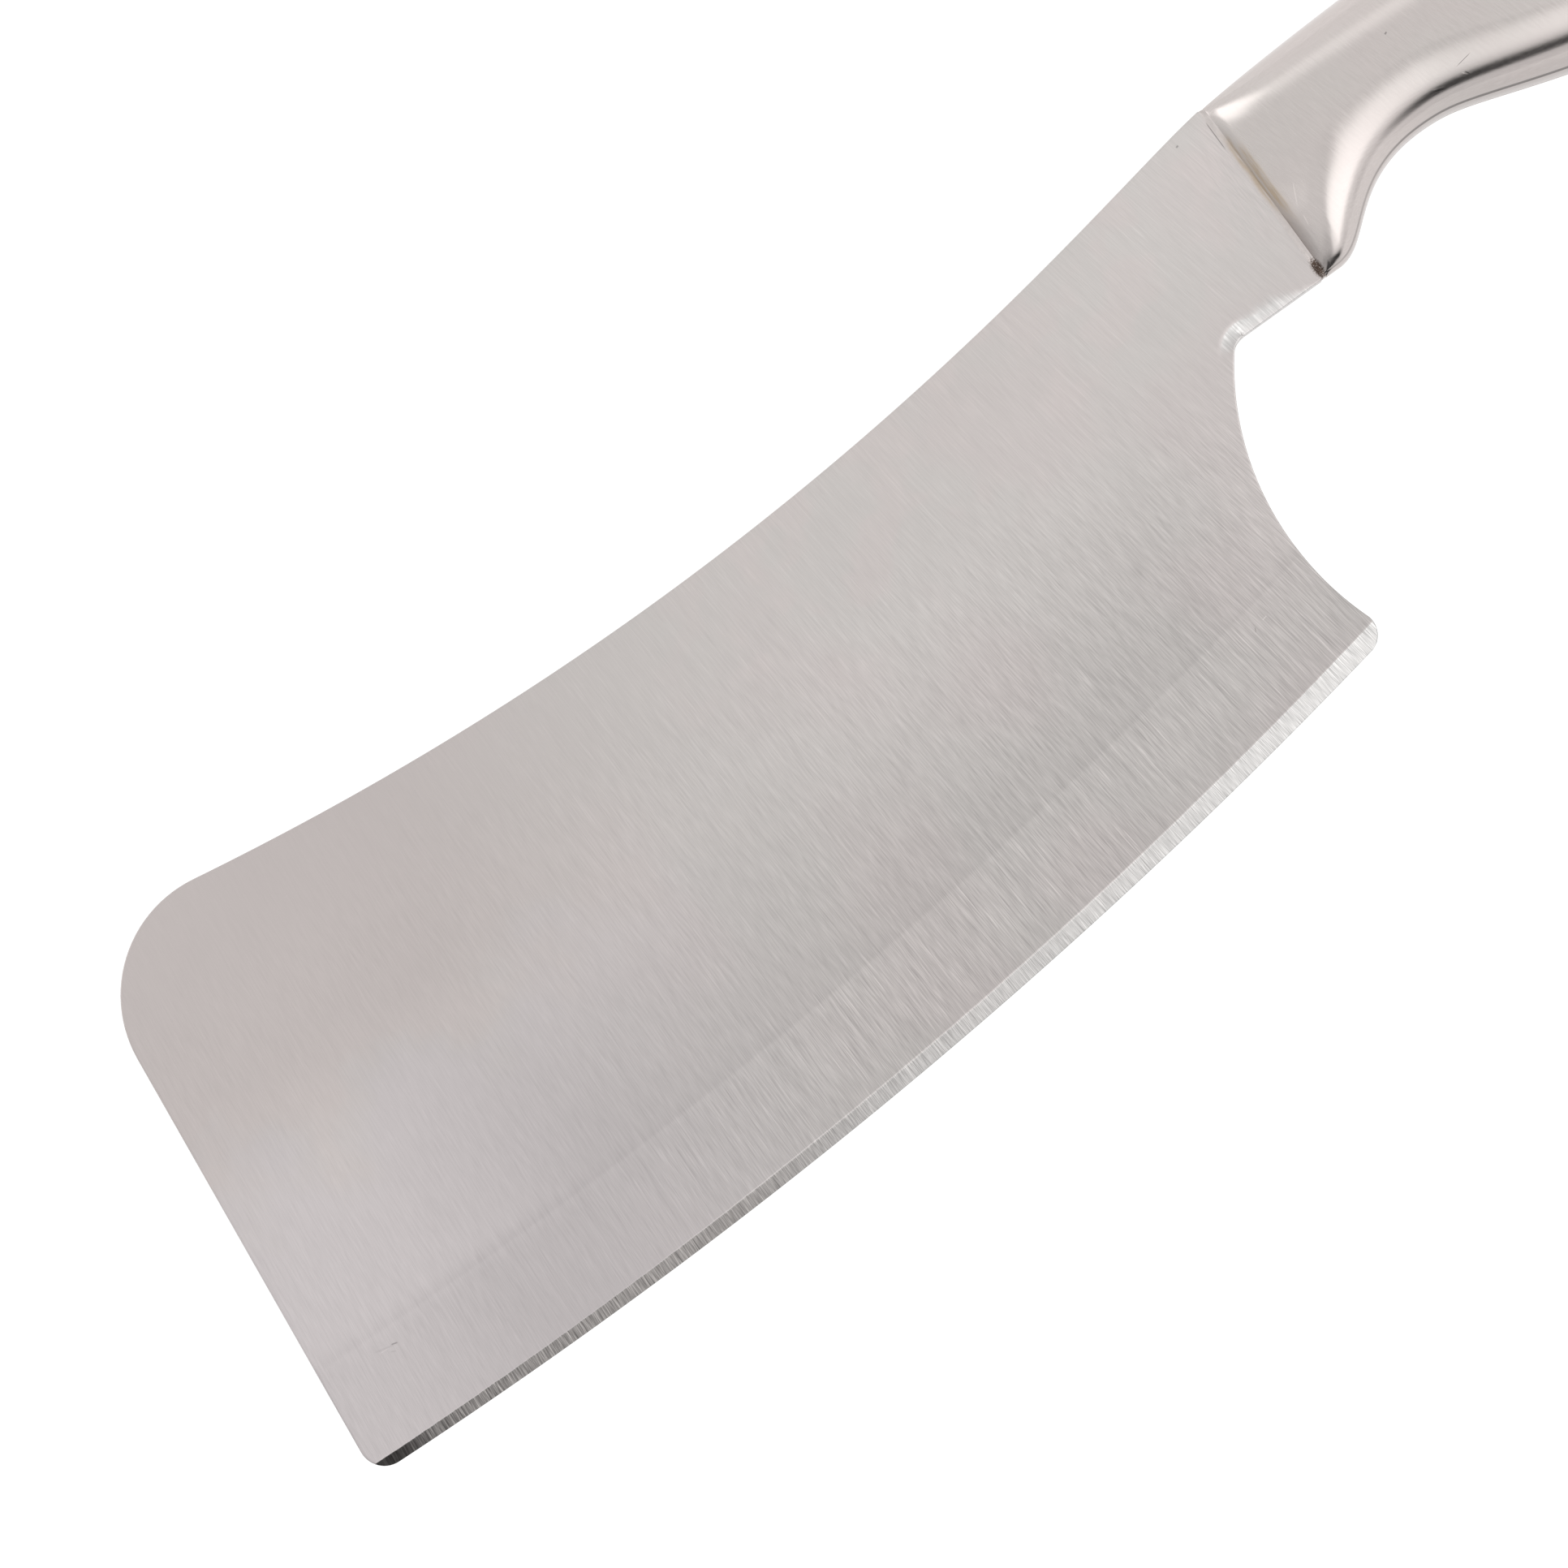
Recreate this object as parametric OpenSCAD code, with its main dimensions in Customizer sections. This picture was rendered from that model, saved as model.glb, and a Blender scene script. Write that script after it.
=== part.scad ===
// Chopping knife, all of stainless steel: a broad blade with a stub tang, butt welded
// to a hollow handle. The handle is two pressed half shells, closed by a weld along the
// back and a weld along the belly, which meet at the butt.
// The knife lies on its side. +X runs from the toe to the butt, +Y from the cutting edge
// to the spine and +Z out of the right side. The origin lies under the middle of the knife.

/* [Blade] */
// Length from the toe to the joint, measured at the underside of the neck
blade_len = 180; // [170:1:190]
// Height of the toe, from the tip of the edge to the spine
toe_h = 77.5; // [72:0.5:84]
// Thickness of the plate
blade_t = 2.2; // [1.8:0.1:2.6]
// Height of the neck's underside above the tip, at the joint
neck_rise = 73.2; // [70:0.2:76]
// Height of the neck at the joint
neck_h = 26.8; // [25:0.2:29]
// Angle between the neck and the long axis
neck_lean = 6.2; // [5:0.2:8]
// Radius of the corner between the toe and the spine
toe_corner_r = 16.4; // [8:0.2:24]
// Radius of the corner at the tip
tip_r = 3.4; // [1.5:0.1:6]

/* [Cutting edge] */
// Radius of the curved cutting edge
edge_r = 705; // [650:5:800]
// Angle between the edge at the tip and the long axis
edge_lean = 3.4; // [2.8:0.1:4]
// Height of the thinned face above the edge
grind_h = 15; // [9:0.5:22]
// Width of the sharpened bevel
bevel_h = 2; // [1:0.1:4]
// Thickness left at the top of the bevel
bevel_t = 0.7; // [0.5:0.05:1.2]
// Thickness of the sharpened line itself
edge_t = 0.1; // [0.06:0.02:0.3]

/* [Heel notch] */
// Radius of the hollow behind the heel
notch_r = 38.7; // [36:0.1:42]
// Distance from the joint forward to the deepest point of the hollow
notch_reach = 20.3; // [17:0.1:24]
// Depth of the hollow's centre below the neck
notch_drop = 23.3; // [20:0.1:26]
// Radius of the corner at the heel
heel_r = 3; // [1:0.1:4]
// Radius of the inner corner between the hollow and the neck
notch_corner_r = 2.8; // [1.5:0.1:4]
// Width of the ground chamfer at that corner, which runs out to nothing at the joint
neck_chamfer_w = 2; // [1:0.1:2.5]
// Depth of that chamfer on each side
neck_chamfer_t = 0.35; // [0.2:0.05:0.5]

/* [Tang and joint] */
// Length of the stub tang inside the handle
tang_len = 11; // [7:0.5:13]
// Height of the tang
tang_h = 12; // [9:0.5:13]
// Distance from the spine down to the tang
tang_inset = 5; // [4:0.5:7]
// Step from the plate's face down to the tang's face
tang_step = 0.4; // [0.3:0.05:0.5]
// Radius of the tang's rear corners
tang_corner_r = 3; // [1:0.5:4]
// Width of the weld between the blade and the handle
weld_w = 0.8; // [0.5:0.1:1.5]
// Clearance between the tang's face and the shell over it
tang_gap = 0.2; // [0.1:0.05:0.4]

/* [Handle] */
// Length of the handle along the long axis
handle_len = 120; // [112:1:130]
// Thickness of the handle at the palm
handle_t = 18.8; // [16:0.2:22]
// Half thickness just behind the joint
nose_t = 4.6; // [3.6:0.1:6]
// Length of the steep rise behind the rim
ramp_len = 1.4; // [1:0.1:2.4]
// Distance from the joint to the full thickness
swell_x = 58; // [44:1:72]
// Thickness at the butt
butt_t = 17.6; // [15:0.2:21]
// Thickness of the pressed sheet
wall = 1; // [0.7:0.05:1.2]
// Height of the spine's crest above the top of the joint
crest_rise = 7.3; // [5:0.1:9]
// Distance of that crest behind the joint
crest_x = 63; // [54:1:72]
// Drop of the spine from its crest to the shoulder of the butt
butt_drop = 4.2; // [2.5:0.1:6]
// Distance of that shoulder from the end of the butt
shoulder_len = 12; // [9:0.5:15]

/* [Grip along the belly] */
// Straight belly behind the joint, which guards the finger
guard_len = 2.8; // [2:0.1:4]
// Distance of the finger groove's top behind the joint
groove_x = 23.8; // [21:0.1:27]
// Height of the finger groove's top above the neck's foot
groove_rise = 10.6; // [9:0.1:12]
// Distance of the palm swell behind the joint
palm_x = 67; // [60:0.5:74]
// Height of the palm swell above the neck's foot
palm_rise = 5.2; // [3.6:0.1:7]
// Distance of the little finger's groove from the end of the butt
waist_gap = 28; // [24:0.5:32]
// Height of the little finger's groove above the neck's foot
waist_rise = 7.8; // [6:0.1:9.5]
// Distance of the belly's hook from the end of the butt
hook_gap = 8.5; // [7:0.1:11]
// Height of the hook above the neck's foot
hook_rise = 4; // [2.5:0.1:5.5]
// Height of the butt's middle above the neck's foot
butt_rise = 15.3; // [13:0.1:18]
// Height of the short flat at the end of the butt
butt_flat = 5; // [3:0.1:7]

/* [Rounded sides] */
// Width of the rounded side on the belly, at the guard
guard_roll = 5.2; // [4:0.1:6.5]
// Width of the rounded side on the belly, at the palm
belly_roll = 8; // [6.5:0.1:9.5]
// Width of the rounded side on the spine, at the joint
neck_roll = 6; // [5:0.1:8]
// Width of the rounded side on the spine, at the palm
spine_roll = 10; // [8:0.1:12]
// Length of the rounding at the butt
butt_roll = 8; // [6.5:0.1:10]
// Thickness of the weld between the two half shells
seam_t = 0.6; // [0.4:0.05:0.8]

/* [Smoothness] */
// Facets round the full circle of the cutting edge
edge_facets = 720; // [360:60:1440]
// Steps along the spine of the blade
spine_steps = 28; // [16:1:40]
// Steps round the hollow behind the heel
notch_steps = 16; // [10:1:28]
// Steps round each small corner
corner_steps = 8; // [5:1:12]
// Rows of the shell from the joint to the finger groove
front_rows = 16; // [10:1:22]
// Rows of the shell from the finger groove to the butt's rounding
palm_rows = 20; // [12:1:28]
// Rows round the butt
butt_rows = 8; // [5:1:12]
// Facets across each rounded side
roll_cols = 7; // [5:1:9]
// Facets across the flat between the rounded sides
flat_cols = 3; // [2:1:6]

/* [Hidden] */

// How far the control points of each curve pull, as shares of the curve's chord
spine_pull_shares = [0.53, 0.11];
guard_pull_shares = [0.25, 0.62];
palm_pull_shares = [0.15, 0.55];
soft_pull_shares = [0.4, 0.45];
crest_pull_shares = [0.12, 0.35];
corner_pull_shares = [0.5, 0.55];
// Part of a full quarter circle that the belly's roll turns through, less than 1 for a crease
belly_turn_share = 0.84;
spine_turn_share = 1;
// Most of a row's height that one roll may take, and how far a slanted outline may widen it
roll_limit_share = 0.46;
slant_limit_share = 0.3;
// Extra crown of the flat between the rolls
crown_share = 0.03;
// Directions of the curves, in degrees
spine_start_angle = -3.4;
spine_end_angle = 13;
guard_angle = 5;
shoulder_angle = -16;
// Angle left before a corner's arc would touch the edge, so that it crosses the edge cleanly
corner_stop = 8;
// How much farther the chamfer's cone reaches than its wedge, so that their borders cross
chamfer_lap_share = 0.06;
// Overrun of the cuts
over = blade_t;

function polar(a) = [cos(a), sin(a)];
function unit(v) = v / norm(v);
function mix(a, b, t) = a + (b - a) * t;
function left_of(v) = [-v[1], v[0]];
function angle_of(v) = atan2(v[1], v[0]);
function arc(c, r, from, to, steps) =
    [for (i = [0 : steps]) c + r * polar(mix(from, to, i / steps))];
function bezier(a, b, c, d, t) =
    pow(1 - t, 3) * a + 3 * pow(1 - t, 2) * t * b + 3 * (1 - t) * t * t * c + pow(t, 3) * d;
// Curve from p to q that leaves p in direction from and reaches q in direction to
function curve(p, from, q, to, pulls, steps) =
    let (chord = norm(q - p),
         b = p + pulls[0] * chord * polar(from),
         c = q - pulls[1] * chord * polar(to))
    [for (i = [0 : steps]) bezier(p, b, c, q, i / steps)];
// Where two circles meet, on the left side of the line from the first centre to the second
function meet(a, ra, b, rb) =
    let (gap = norm(b - a),
         along = (gap * gap + ra * ra - rb * rb) / (2 * gap),
         aside = sqrt(ra * ra - along * along))
    a + along * unit(b - a) + aside * left_of(unit(b - a));
// Where the line through p in direction u crosses the line through q in direction v
function crossing(p, u, q, v) =
    p + ((q - p) * left_of(v)) / (u * left_of(v)) * u;
function joined(lists) = [for (list = lists) for (item = list) item];
function without_last(list) = [for (i = [0 : len(list) - 2]) list[i]];
function reversed(list) = [for (i = [len(list) - 1 : -1 : 0]) list[i]];

// The neck's own axes start at its foot: along the neck, and up the joint
neck_foot = [blade_len, neck_rise];
function neck_place(along, up) =
    neck_foot + along * polar(neck_lean) + up * left_of(polar(neck_lean));
neck_top = neck_place(0, neck_h);

// Cutting edge: an arc that starts at the tip
edge_c = edge_r * left_of(polar(edge_lean));
tip_c = [tip_r, edge_c[1] - sqrt(pow(edge_r - tip_r, 2) - pow(tip_r - edge_c[0], 2))];
tip_end = angle_of(tip_c - edge_c) - corner_stop + 360;

// Hollow behind the heel, with its two corners
notch_c = neck_foot + [notch_r - notch_reach, -notch_drop];
heel_c = meet(notch_c, notch_r + heel_r, edge_c, edge_r - heel_r);
notch_local = [
    (notch_c - neck_foot) * polar(neck_lean),
    (notch_c - neck_foot) * left_of(polar(neck_lean))
];
corner_c = neck_place(
    notch_local[0] - sqrt(pow(notch_r - notch_corner_r, 2) - pow(notch_local[1] + notch_corner_r, 2)),
    -notch_corner_r
);
corner_along = (corner_c - neck_foot) * polar(neck_lean);
heel_start = angle_of(heel_c - edge_c) + corner_stop;
heel_end = angle_of(notch_c - heel_c);
notch_end = angle_of(corner_c - notch_c);

// Toe and spine
toe_corner_c = [toe_corner_r, toe_h - toe_corner_r];
spine_start = toe_corner_c + toe_corner_r * left_of(polar(spine_start_angle));
blade_spine = curve(
    spine_start, spine_start_angle, neck_top, spine_end_angle, spine_pull_shares, spine_steps
);

blade_outline = joined([
    arc(tip_c, tip_r, 180, tip_end, corner_steps),
    [crossing(
        tip_c + tip_r * polar(tip_end), left_of(polar(tip_end)),
        heel_c + heel_r * polar(heel_start), left_of(polar(heel_start))
    )],
    arc(heel_c, heel_r, heel_start, heel_end, corner_steps),
    arc(notch_c, notch_r, heel_end + 180, notch_end, notch_steps),
    arc(corner_c, notch_corner_r, notch_end, 90 + neck_lean, corner_steps),
    [neck_foot],
    reversed(blade_spine),
    reversed(without_last(
        arc(toe_corner_c, toe_corner_r, 180, 90 + spine_start_angle, corner_steps)
    ))
]);

// Handle outline, as the spine and the belly from the joint to the butt
butt_x = blade_len + handle_len;
crest = [blade_len + crest_x, neck_top[1] + crest_rise];
shoulder = [butt_x - shoulder_len, crest[1] - butt_drop];
butt_mid = [butt_x, neck_rise + butt_rise];
butt_top = butt_mid + [0, butt_flat / 2];
butt_bottom = butt_mid - [0, butt_flat / 2];
handle_spine = joined([
    curve(neck_place(weld_w, neck_h), spine_end_angle, crest, 0, crest_pull_shares, spine_steps),
    curve(crest, 0, shoulder, shoulder_angle, soft_pull_shares, spine_steps),
    curve(shoulder, shoulder_angle, butt_top, -90, corner_pull_shares, spine_steps)
]);
guard = neck_foot + guard_len * polar(neck_lean);
groove = neck_foot + [groove_x, groove_rise];
palm = neck_foot + [palm_x, palm_rise];
waist = [butt_x - waist_gap, neck_rise + waist_rise];
hook = [butt_x - hook_gap, neck_rise + hook_rise];
handle_belly = joined([
    [neck_place(weld_w, 0)],
    curve(guard, guard_angle, groove, 0, guard_pull_shares, spine_steps),
    curve(groove, 0, palm, 0, palm_pull_shares, spine_steps),
    curve(palm, 0, waist, 0, soft_pull_shares, spine_steps),
    curve(waist, 0, hook, 0, soft_pull_shares, spine_steps),
    curve(hook, 0, butt_bottom, 90, corner_pull_shares, spine_steps)
]);

// Rows of the shells: distances behind the weld at the spine
run = butt_x - handle_spine[0][0];
rows = joined([
    [for (i = [0 : roll_cols - 1]) ramp_len * i / roll_cols],
    [for (i = [0 : front_rows - 1]) mix(ramp_len, groove_x, i / front_rows)],
    [for (i = [0 : palm_rows - 1]) mix(groove_x, run - butt_roll, i / palm_rows)],
    [for (i = [0 : butt_rows]) run - butt_roll * (1 - sin(90 * i / butt_rows))]
]);
last_row = len(rows) - 1;

// Point of an outline at a share of the way from the joint to the butt
function on_path(path, share) =
    let (x = mix(path[0][0], butt_x, share)) [x, lookup(x, path)];
spine_pts = [for (u = rows) u == rows[last_row] ? butt_top : on_path(handle_spine, u / run)];
belly_pts = [for (u = rows) u == rows[last_row] ? butt_bottom : on_path(handle_belly, u / run)];

// Inward normal of an outline at a row. The first row lies on the joint's own plane
function inward(pts, i, side) =
    i == 0 ? side * left_of(polar(neck_lean))
    : i == last_row ? [-1, 0]
    : side * left_of(unit(pts[i + 1] - pts[i - 1]));
spine_in = [for (i = [0 : last_row]) spine_pts[i] + wall * inward(spine_pts, i, -1)];
belly_in = [for (i = [0 : last_row]) belly_pts[i] + wall * inward(belly_pts, i, 1)];

// Half thickness of the handle at a distance behind the weld. At the rim it clears the tang
rim_t = blade_t / 2 - tang_step + tang_gap + wall;
function swell(u) = sin(90 * min(1, u / swell_x));
function fall(u) = u < swell_x ? 0 : (1 - cos(180 * (u - swell_x) / (run - swell_x))) / 2;
function half_thickness(u) =
    u < ramp_len
        ? mix(rim_t, nose_t, sin(90 * u / ramp_len))
        : mix(mix(nose_t, handle_t / 2, swell(u - ramp_len)), butt_t / 2, fall(u));

// Places across a roll, as shares of its width, and the height reached there
function turn_angle(turn) = acos(1 - turn);
function roll_place(turn, i) = (1 - cos(turn_angle(turn) * i / roll_cols)) / turn;
function roll_height(turn, i) = sin(turn_angle(turn) * i / roll_cols) / sin(turn_angle(turn));
function end_height(u, end, roll) =
    let (q = (end - u) / roll) q >= 1 ? 1 : sqrt(max(0, 1 - pow(1 - q, 2)));

// One row of a shell's face, from the spine to the belly
function shell_row(s, b, u, end, half, s_roll, b_roll, roll) =
    let (tall = norm(b - s),
         s_w = min(s_roll, roll_limit_share * tall) / tall,
         b_w = min(b_roll, roll_limit_share * tall) / tall,
         lift = (half - seam_t / 2) * end_height(u, end, roll),
         across = joined([
            [for (i = [0 : roll_cols - 1])
                [s_w * roll_place(spine_turn_share, i), roll_height(spine_turn_share, i)]],
            [for (i = [0 : flat_cols])
                [mix(s_w, 1 - b_w, i / flat_cols), 1]],
            [for (i = [roll_cols - 1 : -1 : 0])
                [1 - b_w * roll_place(belly_turn_share, i), roll_height(belly_turn_share, i)]]
         ]))
    [for (a = across)
        let (p = mix(s, b, a[0]), crown = 1 - crown_share * pow(2 * a[0] - 1, 2))
        [p[0], p[1], seam_t / 2 + lift * crown * a[1]]];
cols = 2 * roll_cols + flat_cols + 1;

// Width of a roll along its row, which is wider where the outline slopes
function slant(pts, i, row_dir) = max(slant_limit_share, abs(inward(pts, i, 1) * row_dir));
function roll_at(u, front, back) = mix(front, back, swell(u));
outer_rows = [for (i = [0 : last_row])
    let (s = spine_pts[i], b = belly_pts[i], u = rows[i], across = unit(s - b))
    shell_row(s, b, u, run, half_thickness(u),
        roll_at(u, neck_roll, spine_roll) / slant(spine_pts, i, across),
        roll_at(u, guard_roll, belly_roll) / slant(belly_pts, i, across), butt_roll)];
inner_rows = [for (i = [0 : last_row])
    let (s = spine_in[i], b = belly_in[i], u = rows[i], across = unit(s - b))
    shell_row(s, b, u * (run - wall) / run, run - wall, half_thickness(u) - wall,
        (roll_at(u, neck_roll, spine_roll) - wall) / slant(spine_pts, i, across),
        (roll_at(u, guard_roll, belly_roll) - wall) / slant(belly_pts, i, across),
        butt_roll - wall)];

// Triangles of a four-cornered face, and of the strip between two rows of points
function quad(a, b, c, d) = [[a, b, c], [a, c, d]];
function strip(first, second, count) =
    joined([for (j = [0 : count - 2]) quad(first + j, second + j, second + j + 1, first + j + 1)]);

// The knife lies on the side of its handle, with the origin under its middle
low_y = tip_c[1] - tip_r;
high_y = max([for (p = spine_pts) p[1]]);
side_z = max([for (row = outer_rows) for (p = row) p[2]]);
place = [-butt_x / 2, -(low_y + high_y) / 2, side_z];

module blade_section() {
    half = blade_t / 2;
    polygon([
        [edge_r, -edge_t / 2],
        [edge_r, edge_t / 2],
        [edge_r - bevel_h, bevel_t / 2],
        [edge_r - grind_h, half],
        [edge_r - 2 * toe_h, half],
        [edge_r - 2 * toe_h, -half],
        [edge_r - grind_h, -half],
        [edge_r - bevel_h, -bevel_t / 2]
    ]);
}

// Cut that leaves the ground chamfer on one face: a cone round the inner corner of the
// hollow, and a wedge under the neck that runs out at the joint
module neck_chamfer() {
    fade = atan(neck_chamfer_w / -corner_along);
    face = blade_t / 2;
    translate([neck_foot[0], neck_foot[1], 0])
        rotate([0, 0, neck_lean - fade])
            translate([corner_along / cos(fade), 0, 0])
                rotate([90, 0, 90])
                    linear_extrude(height = -corner_along / cos(fade))
                        polygon([
                            [0, face],
                            [-2 * neck_chamfer_w, face - 2 * neck_chamfer_t],
                            [-2 * neck_chamfer_w, face + over],
                            [0, face + over]
                        ]);
    reach = notch_corner_r + (1 + chamfer_lap_share) * neck_chamfer_w;
    translate([corner_c[0], corner_c[1], face - 1.5 * neck_chamfer_t])
        cylinder(
            h = 3 * neck_chamfer_t,
            r1 = reach - 1.5 * neck_chamfer_w,
            r2 = reach + 1.5 * neck_chamfer_w,
            $fn = edge_facets / 10
        );
}

module tang() {
    top = neck_h - tang_inset;
    bottom = top - tang_h;
    outline = joined([
        [[-over, bottom]],
        arc([tang_len - tang_corner_r, bottom + tang_corner_r], tang_corner_r, -90, 0, corner_steps),
        arc([tang_len - tang_corner_r, top - tang_corner_r], tang_corner_r, 0, 90, corner_steps),
        [[-over, top]]
    ]);
    translate([neck_foot[0], neck_foot[1], 0])
        rotate([0, 0, neck_lean])
            linear_extrude(height = blade_t - 2 * tang_step, center = true)
                polygon(outline);
}

module blade() {
    color("gainsboro")
        translate(place) {
            difference() {
                intersection() {
                    linear_extrude(height = 2 * blade_t, center = true)
                        polygon(blade_outline);
                    translate([edge_c[0], edge_c[1], 0])
                        rotate_extrude($fn = edge_facets)
                            blade_section();
                }
                neck_chamfer();
                mirror([0, 0, 1])
                    neck_chamfer();
            }
            tang();
        }
}

// One pressed half, with its open rims on the middle plane and at the joint
module half_shell() {
    all_rows = len(outer_rows);
    inner_start = all_rows * cols;
    points = joined([joined(outer_rows), joined(inner_rows)]);
    outer_face = joined([for (i = [0 : all_rows - 2])
        joined([for (j = [0 : cols - 2])
            let (a = i * cols + j, b = a + cols) quad(a, b, b + 1, a + 1)])]);
    inner_face = [for (f = outer_face) [f[0] + inner_start, f[2] + inner_start, f[1] + inner_start]];
    front_rim = joined([for (j = [0 : cols - 2])
        quad(j, j + 1, inner_start + j + 1, inner_start + j)]);
    butt_rim = joined([for (j = [0 : cols - 2])
        let (a = (all_rows - 1) * cols + j) quad(a, a + inner_start, a + inner_start + 1, a + 1)]);
    spine_rim = joined([for (i = [0 : all_rows - 2])
        let (a = i * cols, b = a + cols) quad(b, a, a + inner_start, b + inner_start)]);
    belly_rim = joined([for (i = [0 : all_rows - 2])
        let (a = i * cols + cols - 1, b = a + cols) quad(b + inner_start, a + inner_start, a, b)]);
    polyhedron(
        points = points,
        faces = joined([spine_rim, belly_rim, outer_face, inner_face, front_rim, butt_rim]),
        convexity = 6
    );
}

module handle_shell_right() {
    color("silver")
        translate(place)
            half_shell();
}

module handle_shell_left() {
    color("silver")
        translate(place)
            mirror([0, 0, 1])
                half_shell();
}

// Weld bead from the blade's square shoulder to the shells' rounded rims
module neck_weld() {
    rim = outer_rows[0];
    shoulder_pts = [for (p = rim)
        [p[0], p[1], blade_t / 2] - weld_w * [cos(neck_lean), sin(neck_lean), 0]];
    down = [[1, 0, 0], [0, 1, 0], [0, 0, -1]];
    points = joined([
        shoulder_pts, rim,
        [for (p = shoulder_pts) down * p],
        [for (p = rim) down * p]
    ]);
    top = strip(0, cols, cols);
    bottom = [for (f = strip(2 * cols, 3 * cols, cols)) [f[0], f[2], f[1]]];
    front = joined([for (j = [0 : cols - 2])
        quad(j, j + 1, j + 1 + 2 * cols, j + 2 * cols)]);
    back = joined([for (j = [cols : 2 * cols - 2])
        quad(j + 1, j, j + 2 * cols, j + 1 + 2 * cols)]);
    spine_end = quad(cols, 0, 2 * cols, 3 * cols);
    belly_end = quad(cols - 1, 2 * cols - 1, 4 * cols - 1, 3 * cols - 1);
    color("darkgray")
        translate(place)
            difference() {
                polyhedron(
                    points = points,
                    faces = joined([top, bottom, front, back, spine_end, belly_end]),
                    convexity = 4
                );
                tang();
            }
}

// Strip of weld that fills the gap between the shells' rims, out to the butt's middle
module seam_strip(outer, inner) {
    outline = joined([
        outer, [butt_mid],
        [butt_mid - [wall, 0]], reversed(inner)
    ]);
    color("darkgray")
        translate(place)
            linear_extrude(height = seam_t, center = true)
                polygon(outline);
}

module spine_seam_weld() {
    seam_strip(spine_pts, spine_in);
}

module belly_seam_weld() {
    seam_strip(belly_pts, belly_in);
}

blade();
handle_shell_right();
handle_shell_left();
neck_weld();
spine_seam_weld();
belly_seam_weld();
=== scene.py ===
import math
import bpy
import numpy as np
from mathutils import Matrix, Vector, noise
from mathutils.geometry import delaunay_2d_cdt


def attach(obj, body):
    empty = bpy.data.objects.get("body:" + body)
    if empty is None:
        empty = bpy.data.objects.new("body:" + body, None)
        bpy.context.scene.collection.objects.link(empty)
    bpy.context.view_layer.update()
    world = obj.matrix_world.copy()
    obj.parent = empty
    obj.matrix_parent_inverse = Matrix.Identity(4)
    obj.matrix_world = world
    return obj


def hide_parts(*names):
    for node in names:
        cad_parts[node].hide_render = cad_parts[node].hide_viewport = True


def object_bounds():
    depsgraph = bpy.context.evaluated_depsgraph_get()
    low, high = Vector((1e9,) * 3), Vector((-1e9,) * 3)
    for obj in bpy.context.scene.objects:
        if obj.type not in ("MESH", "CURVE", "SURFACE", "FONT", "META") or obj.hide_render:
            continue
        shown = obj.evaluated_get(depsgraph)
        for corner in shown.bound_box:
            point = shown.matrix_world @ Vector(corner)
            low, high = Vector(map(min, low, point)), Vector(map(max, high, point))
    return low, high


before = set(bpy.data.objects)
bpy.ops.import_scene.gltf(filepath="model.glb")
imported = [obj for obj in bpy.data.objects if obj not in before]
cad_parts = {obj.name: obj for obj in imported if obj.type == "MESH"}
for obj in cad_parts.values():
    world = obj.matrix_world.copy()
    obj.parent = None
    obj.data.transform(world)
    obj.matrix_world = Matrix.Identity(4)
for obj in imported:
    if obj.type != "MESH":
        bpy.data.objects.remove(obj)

cadLow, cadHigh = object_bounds()

# All shapes are worked out in millimetres from the toe of the cutting edge, +X to the butt and
# +Y to the spine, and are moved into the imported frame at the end.
mm = 0.001
place = Vector((-150.0, -53.7522, 9.39789))


# Plane geometry
def polar(degrees):
    a = math.radians(degrees)
    return np.array([math.cos(a), math.sin(a)])


def leftOf(v):
    return np.array([-v[1], v[0]])


def angleOf(v):
    return math.degrees(math.atan2(v[1], v[0]))


def mix(a, b, t):
    return a + (b - a) * t


def arc(centre, radius, start, end, steps):
    return [centre + radius * polar(mix(start, end, i / steps)) for i in range(steps + 1)]


def curve(p, startAngle, q, endAngle, pulls, steps):
    chord = np.linalg.norm(q - p)
    b = p + pulls[0] * chord * polar(startAngle)
    c = q - pulls[1] * chord * polar(endAngle)
    ts = [i / steps for i in range(steps + 1)]
    return [(1 - t) ** 3 * p + 3 * (1 - t) ** 2 * t * b + 3 * (1 - t) * t * t * c + t ** 3 * q for t in ts]


def circlesMeet(a, ra, b, rb):
    gap = np.linalg.norm(b - a)
    along = (gap * gap + ra * ra - rb * rb) / (2 * gap)
    aside = math.sqrt(ra * ra - along * along)
    return a + along * (b - a) / gap + aside * leftOf((b - a) / gap)


# Node trees, written as Python expressions
def sign(operation, reflected=False):
    # What an arithmetic sign does between a socket and a socket or number
    if reflected:
        return lambda sock, other: sock.maths(operation, first=other)
    return lambda sock, other: sock.maths(operation, other)


class Sock:
    # One output of a node. Arithmetic on it adds Math nodes.
    __add__, __sub__, __mul__ = sign("ADD"), sign("SUBTRACT"), sign("MULTIPLY")
    __truediv__, __pow__ = sign("DIVIDE"), sign("POWER")
    __rsub__, __rtruediv__ = sign("SUBTRACT", True), sign("DIVIDE", True)
    __radd__, __rmul__ = __add__, __mul__

    def __init__(self, tree, out):
        self.tree = tree
        self.out = out

    def maths(self, operation, *others, first=None):
        row = [self, *others] if first is None else [first, self]
        return self.tree.add("ShaderNodeMath", {"operation": operation}, row)


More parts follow.
